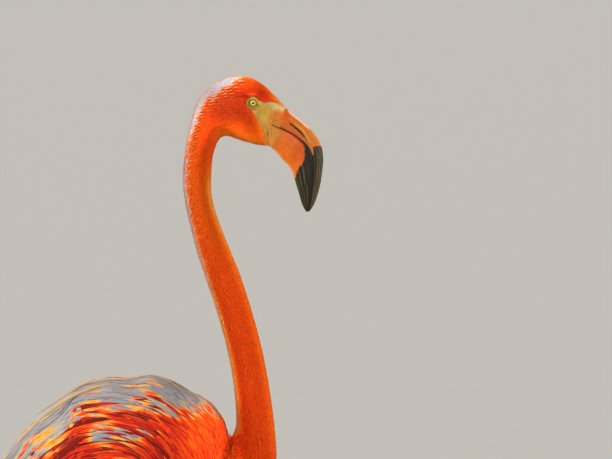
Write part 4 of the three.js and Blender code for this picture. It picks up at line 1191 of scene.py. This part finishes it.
def dressBill(mesh, upper):
    points = meshArrays(mesh)[0]
    bird = toBird(points)
    x, drop = bird[:, 0], bird[:, 2]
    station, around = (np.array([d.value for d in mesh.attributes[n].data]) for n in ("station", "around"))
    turn = np.clip(around / 0.8, 0, 1) * math.pi
    rise = np.maximum(np.sin(turn), 0)
    flat = np.stack([x, drop], 1)
    wander = 0.8 * np.sin(drop * 0.9 + around * 30) + 0.5 * np.sin(x * 1.7)
    ridges = np.sin(around * 83 + 1.5 * np.sin(station * 9)) * 0.55
    ridges = ridges + np.sin(around * 171 + 2 * station) * 0.45
    slitWidth = np.interp(x, [100, 104, 110, 115, 117.5, 123], [0.65, 0.9, 1.15, 0.9, 0.30, 0.15])
    rows = np.array([splineAt(billRows, s * (len(billRows) - 1)) for s in station])
    mouth = nearPoint(flat, rows[:, 2:4], rows[:, 0:2] if upper else rows[:, 4:6])
    beside = np.exp(-((mouth - 2.0) / 0.9) ** 2) * smooth(96, 100, x) * smooth(118, 113, x)  # rosy lips
    if upper:
        black = smooth(-0.8, 0.8, drop + wander * 0.5 - 78.5 - 9.5 * smooth(0.36, 0.12, rise))
        slit = nearLine(flat, billPlan["nostril"])
        groove = nearLine(flat, [(98, 50.6)] + billPlan["nostril"] + billPlan["groove"])
        sunk = 1.5 * np.exp(-(slit / 0.85) ** 2) * smooth(118, 115, x) + 0.35 * np.exp(-(groove / 1.3) ** 2)
        hatch = smooth(-0.2, 0.8, np.sin(station * 300 + 2 * np.sin(around * 40)))
        onTop = smooth(0.84, 0.94, rise)
        colour = np.broadcast_to(np.array(toLinear("#c4622a")[:3]), points.shape)
        colour = blend(colour, "#c97330", smooth(112, 122, x))
        colour = blend(colour, "#cc4f24", 0.9 * np.exp(-((x - 95) / 6.5) ** 4 - ((drop - 44) / 6.5) ** 4))
        tan = nearLine(flat, [(103, 48), (115, 60.5), (125, 74)])
        colour = blend(colour, "#b87c40", 0.55 * np.exp(-(tan / 2.4) ** 2))
        fine = 0.75 * hatch * smooth(0.55, 0.80, rise) * smooth(116, 108, x) * smooth(95, 98, x)
        colour = blend(colour, "#8f3a2c", fine)
        colour = blend(colour, "#9c4f20", 0.60 * hatch * smooth(0.38, 0.6, rise) * smooth(106, 112, x))
        # onTop: pale pink, then light orange, along the culmen's ridge: painted highlight
        colour = blend(colour, "#f2b6a6", onTop * smooth(97, 101, x) * smooth(126, 118, x))
        colour = blend(colour, "#de8a3c", onTop * smooth(120, 128, x))
        pale = nearLine(flat, [(107, 54), (115.4, 60.8), (119.8, 67.4), (123, 75)])
        colour = blend(colour, "#e0b070", 0.5 * np.exp(-(pale / 0.6) ** 2))
    else:
        black = smooth(-0.9, 0.9, x + wander * 0.35 - readOff(drop, darkEdge)) * smooth(66.5, 68.5, drop)
        slit, sunk = np.full(len(x), 99.0), np.zeros(len(x))
        colour = np.broadcast_to(np.array(toLinear("#d0601f")[:3]), points.shape)
        colour = blend(colour, "#cc4d1a", 0.6 * smooth(99, 113, x) * smooth(104, 86, drop))
        cloud = np.sin(x * 0.55 + 1.5 * np.sin(drop * 0.31)) * np.sin(drop * 0.47 + 1.2 * np.sin(x * 0.4))
        colour = blend(colour, "#dc8034", 0.35 * np.maximum(cloud, 0))
        colour = blend(colour, "#c97a38", smooth(0.18, 0.0, station) * 0.8)
        colour = blend(colour, "#dd8f4c", smooth(0.86, 0.99, rise) * 0.8)
    dark = np.broadcast_to(np.array(toLinear("#2b2415" if upper else "#1d1a10")[:3]), points.shape)
    # lighter brown streaks on the black horn's ridges, which the code raises: striations with painted
    # highlight on their crests
    streaksAndRidgeGleam = 0.80 * smooth(0.1, 0.9, ridges) * smooth(0.10, 0.3, rise)
    streaksAndRidgeGleam = streaksAndRidgeGleam * (0.35 + 0.65 * smooth(82, 108, drop))
    dark = blend(dark, "#7c6d44" if upper else "#5c5134", streaksAndRidgeGleam)
    colour = colour + black[:, None] * (dark - colour)
    colour = blend(colour, "#dc6a50", 0.55 * beside * (1 - black))
    colour = colour * (black[:, None] + (1 - black[:, None]) * deeper)
    fray = 1.3 * np.sin(drop * 0.34 + 1.0) + 0.8 * np.sin(drop * 0.9 + x * 0.3)
    byFace = smooth(8.5, 0.5, aheadOfRoot(bird) + fray)
    colour += byFace[:, None] * (faceColours(bird) - colour)
    # a dark line along the mouth's edge, and on the lower mandible a dark band beside it: painted shade of
    # the slit where the mandibles meet
    lipWidth = np.interp(station, [0, 0.1, 0.3, 0.5, 1], [0.38, 0.55, 1.45, 1.3, 0.5])
    line = np.where(around < 0.8, smooth(lipWidth + 0.3, lipWidth - 0.3, mouth), 1.0)
    colour = blend(colour, "#4a1710", line * smooth(0.36, 0.2, station))
    colour = blend(colour, "#15130c", line * smooth(0.2, 0.36, station))
    gapeShadow = smooth(3.0, 1.0, mouth) * smooth(0.22, 0.34, station) * smooth(0.62, 0.5, station)
    if not upper:
        colour = blend(colour, "#1c170e", gapeShadow)
    colour = blend(colour, "#5a0f06", smooth(0.25, -0.25, slit - slitWidth))
    sunk = sunk - billPlan["ridge"] * ridges * black * smooth(0.1, 0.3, rise)
    inward = np.sign(bird[:, 1]) * np.minimum(sunk, np.abs(bird[:, 1]) * 0.5)
    points[:, 1] -= inward / 1000
    setPoints(mesh, points)
    setColours(mesh, "tint", colour)
    setFloats(mesh, "black", black)


def billMaterial():  # keratin horn, satin, with growth lines along it
    # seventy lines round a mandible and seven changes along it, under clouds 6 mm across
    material, tree = newMaterial("bill keratin")
    place = addNode(tree, "TexCoord")
    tint = addNode(tree, "Attribute", attribute_name="tint")
    around = addNode(tree, "Attribute", attribute_name="around")
    station = addNode(tree, "Attribute", attribute_name="station")
    along = addNode(tree, "CombineXYZ", {}, {"X": around.outputs["Fac"], "Y": station.outputs["Fac"]})
    stretched = addNode(tree, "Mapping", {"Scale": (70.0, 7.0, 1.0)}, {"Vector": along.outputs["Vector"]})
    lines = addNode(tree, "TexNoise", {"Scale": 1.0, "Detail": 4.0}, {"Vector": stretched.outputs["Vector"]})
    cloud = addNode(tree, "TexNoise", {"Scale": 160.0, "Detail": 3.0}, {"Vector": place.outputs["Object"]})
    both = addNode(tree, "Math", {}, {0: lines.outputs["Fac"], 1: cloud.outputs["Fac"]}, operation="ADD")
    value = addNode(tree, "MapRange", {"From Min": 0.6, "From Max": 1.4, "To Min": 0.80, "To Max": 1.18},
                    {"Value": both.outputs[0]})
    lit = addNode(tree, "HueSaturation", {},
                  {"Color": tint.outputs["Color"], "Value": value.outputs["Result"]})
    bump = addNode(tree, "Bump", {"Strength": 0.25, "Distance": 0.0004}, {"Height": lines.outputs["Fac"]})
    shade = addNode(tree, "BsdfPrincipled", {"Roughness": 0.42, "Specular IOR Level": 0.16},
                    {"Base Color": lit.outputs["Color"], "Normal": bump.outputs["Normal"]})
    addNode(tree, "OutputMaterial", links={"Surface": shade.outputs["BSDF"]})
    return material


horn = billMaterial()
for upper, pieceName in ((True, "upper_mandible"), (False, "lower_mandible")):
    mesh = finishMesh(sleeve(billPlan["rings"], billPlan["sides"], billPlace(upper)), pieceName)
    dressBill(mesh, upper)
    addObject(pieceName, mesh, horn, "bill", ("bill_upper" if upper else "bill_lower",))
print("bill made")


# eyes: iris and pupil ringed round the eye's axis, under a wet gloss
def eyeMaterial():
    material, tree = newMaterial("wet eyeball")  # the ramp spans 10 mm from the axis, with rays 0.7 mm apart
    ring = addNode(tree, "Attribute", attribute_name="ring")
    place = addNode(tree, "TexCoord")
    rays = addNode(tree, "TexNoise", {"Scale": 1400.0, "Detail": 2.0}, {"Vector": place.outputs["Object"]})
    shiver = addNode(tree, "MapRange", {"To Min": -0.32, "To Max": 0.32}, {"Value": rays.outputs["Fac"]})
    total = addNode(tree, "Math", {}, {0: ring.outputs["Fac"], 1: shiver.outputs["Result"]}, operation="ADD")
    scaled = addNode(tree, "Math", {1: 0.1}, {0: total.outputs[0]}, operation="MULTIPLY")
    ramp = addNode(tree, "ValToRGB", links={"Fac": scaled.outputs[0]})
    fillRamp(ramp.color_ramp, [(0.0, "#050302"), (0.120, "#050302"), (0.135, "#8d7a30"), (0.18, "#cdbe66"),
                               (0.275, "#bcab4c"), (0.31, "#7a651f"), (0.36, "#5e4b18"), (0.40, "#8b7936"),
                               (0.47, "#6a5724"), (0.52, "#3a2e12")])
    shade = addNode(tree, "BsdfPrincipled", {"Roughness": 0.4, "Specular IOR Level": 0.05,
                                             "Coat Weight": 0.35, "Coat Roughness": 0.03},
                    {"Base Color": ramp.outputs["Color"]})
    addNode(tree, "OutputMaterial", links={"Surface": shade.outputs["BSDF"]})
    return material


wetEye = eyeMaterial()
for sideName, hand in (("right", -1), ("left", 1)):
    bm = bmesh.new()
    bmesh.ops.create_uvsphere(bm, u_segments=64, v_segments=48, radius=eyeSpot["radius"] / 1000)
    outward = Vector((0, 0, 1)).rotation_difference(Vector((0, hand, 0))).to_matrix()
    bmesh.ops.rotate(bm, verts=bm.verts, matrix=outward)
    ring = bm.verts.layers.float.new("ring")  # millimetres from the eye's axis
    for vertex in bm.verts:
        vertex[ring] = math.hypot(vertex.co.x, vertex.co.z) * 1000 if vertex.co.y * hand > 0 else 9.0
    bmesh.ops.translate(bm, verts=bm.verts, vec=spot(eyeSpot["x"], eyeSpot["drop"], hand * eyeSpot["y"]))
    addObject("eyeball_" + sideName, finishMesh(bm, "eyeball"), wetEye, "eye", ("eye_" + sideName,))
print("eyes made")


# legs and webbed feet
legPlan = {"sides": 40, "hock": 345.0, "thighEnd": 572.0, "spacing": 44.0, "stride": 25.0,
           "stance": -118.0, "scute": 5.2, "toe": 78.0, "spread": 31.0}


def floorSpot(x, y, z):
    return Vector(((x + shift) / 1000, y / 1000, z / 1000))


def legRows(hand):  # height, x, half depth, half width
    step = legPlan["stride"] if hand < 0 else -legPlan["stride"]
    footX = legPlan["stance"] + step
    hockX = footX - 9 + step * 0.04
    thighX = -93 + step * 0.36
    hock, top = legPlan["hock"], legPlan["thighEnd"]

    def alongLeg(z):
        return hockX + (thighX - hockX) * (z - hock) / (top - hock)
    rows = [(top + 14, alongLeg(top + 14), 7.2, 6.2), (top - 4, alongLeg(top), 6.5, 5.5),
            (520, alongLeg(520), 5.6, 4.6), (430, alongLeg(430), 5.4, 4.4), (392, alongLeg(392), 5.8, 4.8),
            (hock + 26, alongLeg(hock + 26), 7.2, 6.3), (hock + 13, alongLeg(hock + 13), 9.6, 8.4),
            (hock, hockX, 11.3, 9.7), (hock - 13, hockX + 0.6, 9.8, 8.6), (hock - 30, hockX + 1, 6.9, 5.9),
            (hock - 80, hockX + 3, 5.7, 4.6), (180, (hockX + footX) / 2, 5.4, 4.3),
            (80, footX - 1, 5.7, 4.5), (36, footX, 6.6, 5.6), (22, footX, 7.4, 6.6),
            (11, footX + 0.5, 8.0, 7.2), (4, footX + 1, 7.0, 6.4)]
    return footX, rows


def legPlace(rows, y):
    def place(u, v):
        z, x, deep, wide = splineAt(rows, u * (len(rows) - 1))
        a = v * 2 * math.pi
        onFront = max(math.cos(a), 0) ** 0.5  # shields down the front, small scales round the rest
        tooth = (z / legPlan["scute"]) % 1.0
        plate = 0.34 * (1 - tooth) ** 0.5 * onFront * (1.0 if 40 < z < 560 else 0.3)
        knuckle = 0.35 * math.sin(z * 0.9) * math.exp(-((z - legPlan["hock"]) / 16) ** 2)
        back = 0.9 * max(-math.cos(a), 0) ** 3 * math.exp(-((z - 190) / 120) ** 2)  # tendon
        forward = x + math.cos(a) * (deep - 0.2 + plate + knuckle + back)
        return floorSpot(forward, y + math.sin(a) * (wide - 0.1 + knuckle), z)
    return place


def toePlace(x, y, heading, length, base):
    turn = math.radians(heading)

    def place(u, v):
        a = v * 2 * math.pi
        joints = 1 + 0.10 * math.cos(u * 2 * math.pi * 3.0) * (1 - u)
        roundEnd = math.sqrt(max(1 - max((u - 0.93) / 0.07, 0) ** 2, 0.0004))
        radius = (base * (1 - u) + 2.9 * u) * joints * roundEnd
        plate = 0.18 * (1 - (u * length / 3.2) % 1.0) * max(math.sin(a), 0) ** 0.5
        forward = u * length
        side, high = math.cos(a) * (radius + plate) * 0.95, math.sin(a) * (radius + plate)
        z = max(radius * 0.80 + high, 0.05)
        return floorSpot(x + math.cos(turn) * forward - math.sin(turn) * side,
                         y + math.sin(turn) * forward + math.cos(turn) * side, z)
    return place


def webPlace(x, y, fromHeading, toHeading, fromLength, toLength):
    def place(u, v):
        turn = math.radians(fromHeading + (toHeading - fromHeading) * u)
        reach = (fromLength * (1 - u) + toLength * u) * (1 - 0.27 * math.sin(math.pi * u) ** 0.8)
        out = 2 * v if v < 0.5 else 2 - 2 * v
        ripple = 0.35 * math.sin(u * 16) * out
        z = (2.35 - 0.9 * out + ripple) if v < 0.5 else 0.15
        return floorSpot(x + math.cos(turn) * reach * out, y + math.sin(turn) * reach * out, z)
    return place


def clawPlace(x, y, heading, length):
    turn = math.radians(heading)

    def place(u, v):
        a = v * 2 * math.pi
        radius = 2.3 * (1 - u) ** 0.75 + 0.12
        forward = length - 3 + u * 9.5
        z = max(2.7 - 1.9 * u * u + math.sin(a) * radius * 0.8, 0.05)
        side = math.cos(a) * radius * 0.85
        return floorSpot(x + math.cos(turn) * forward - math.sin(turn) * side,
                         y + math.sin(turn) * forward + math.cos(turn) * side, z)
    return place


def joinSleeves(parts, name):
    joined = bmesh.new()
    for rings, sides, place in parts:
        piece = finishMesh(sleeve(rings, sides, place), "part")
        joined.from_mesh(piece)
        bpy.data.meshes.remove(piece)
    return finishMesh(joined, name)


def legMaterial():  # scaled skin, leathery, greyish pink and redder at the joints and webs
    # scales 3 mm across, clouds 22 mm across
    material, tree = newMaterial("scaled leg skin")
    place = addNode(tree, "TexCoord")
    split = addNode(tree, "SeparateXYZ", {}, {"Vector": place.outputs["Object"]})
    scales = addNode(tree, "TexVoronoi", {"Scale": 330.0, "Randomness": 0.8},
                     {"Vector": place.outputs["Object"]}, feature="DISTANCE_TO_EDGE")
    cloud = addNode(tree, "TexNoise", {"Scale": 45.0, "Detail": 4.0}, {"Vector": place.outputs["Object"]})
    height = addNode(tree, "MapRange", {"From Min": 0.0, "From Max": 0.6}, {"Value": split.outputs["Z"]})
    joint = addNode(tree, "ValToRGB", links={"Fac": height.outputs["Result"]})
    fillRamp(joint.color_ramp, [(0.0, "#b8655c"), (0.06, "#c0736a"), (0.12, "#c48a82"), (0.47, "#c48279"),
                                (0.54, "#b94f45"), (0.60, "#b8483e"), (0.68, "#c8857c"), (0.95, "#cf8078")])
    patchy = addNode(tree, "MapRange", {"To Min": 0.72, "To Max": 1.22}, {"Value": cloud.outputs["Fac"]})
    seams = addNode(tree, "MapRange", {"From Min": 0.0, "From Max": 0.12, "To Min": 0.68, "To Max": 1.0},
                    {"Value": scales.outputs["Distance"]})
    total = addNode(tree, "Math", {}, {0: patchy.outputs["Result"], 1: seams.outputs["Result"]},
                    operation="MULTIPLY")
    lit = addNode(tree, "HueSaturation", {}, {"Color": joint.outputs["Color"], "Value": total.outputs[0]})
    bump = addNode(tree, "Bump", {"Strength": 0.5, "Distance": 0.0005}, {"Height": seams.outputs["Result"]})
    shade = addNode(tree, "BsdfPrincipled", {"Roughness": 0.5, "Specular IOR Level": 0.4},
                    {"Base Color": lit.outputs["Color"], "Normal": bump.outputs["Normal"]})
    addNode(tree, "OutputMaterial", links={"Surface": shade.outputs["BSDF"]})
    return material


def clawMaterial():  # dark horn with a grain 2 mm across
    material, tree = newMaterial("claw horn")
    place = addNode(tree, "TexCoord")
    grain = addNode(tree, "TexNoise", {"Scale": 500.0, "Detail": 3.0}, {"Vector": place.outputs["Object"]})
    ramp = addNode(tree, "ValToRGB", links={"Fac": grain.outputs["Fac"]})
    fillRamp(ramp.color_ramp, [(0.3, "#2b1f1c"), (0.7, "#56423a")])
    shade = addNode(tree, "BsdfPrincipled", {"Roughness": 0.35}, {"Base Color": ramp.outputs["Color"]})
    addNode(tree, "OutputMaterial", links={"Surface": shade.outputs["BSDF"]})
    return material


legSkin, clawHorn = legMaterial(), clawMaterial()
for sideName, hand in (("right", -1), ("left", 1)):
    footX, rows = legRows(hand)
    y = hand * legPlan["spacing"]
    mesh = finishMesh(sleeve(640, legPlan["sides"], legPlace(rows, y)), "leg")
    addObject("leg_skin_" + sideName, mesh, legSkin, "leg",
              ("shank_" + sideName, "hock_" + sideName, "tarsus_" + sideName))
    spread, full = legPlan["spread"], legPlan["toe"]
    short = full * 0.88
    front = ((-spread, short), (0, full), (spread, short))
    toes = [(110, 28, toePlace(footX, y, heading, length, 6.2)) for heading, length in front]
    toes += [(40, 20, toePlace(footX - 5, y, 180, 17, 3.6))]
    toes += [(40, 60, webPlace(footX, y, -spread, 0, short * 0.93, full * 0.93)),
             (40, 60, webPlace(footX, y, 0, spread, full * 0.93, short * 0.93))]
    addObject("toes_" + sideName, joinSleeves(toes, "toes"), legSkin, "leg", ("foot_" + sideName,))
    claws = [(20, 14, clawPlace(footX, y, heading, length)) for heading, length in front]
    addObject("claws_" + sideName, joinSleeves(claws, "claws"), clawHorn, "leg")
print("legs and feet made")
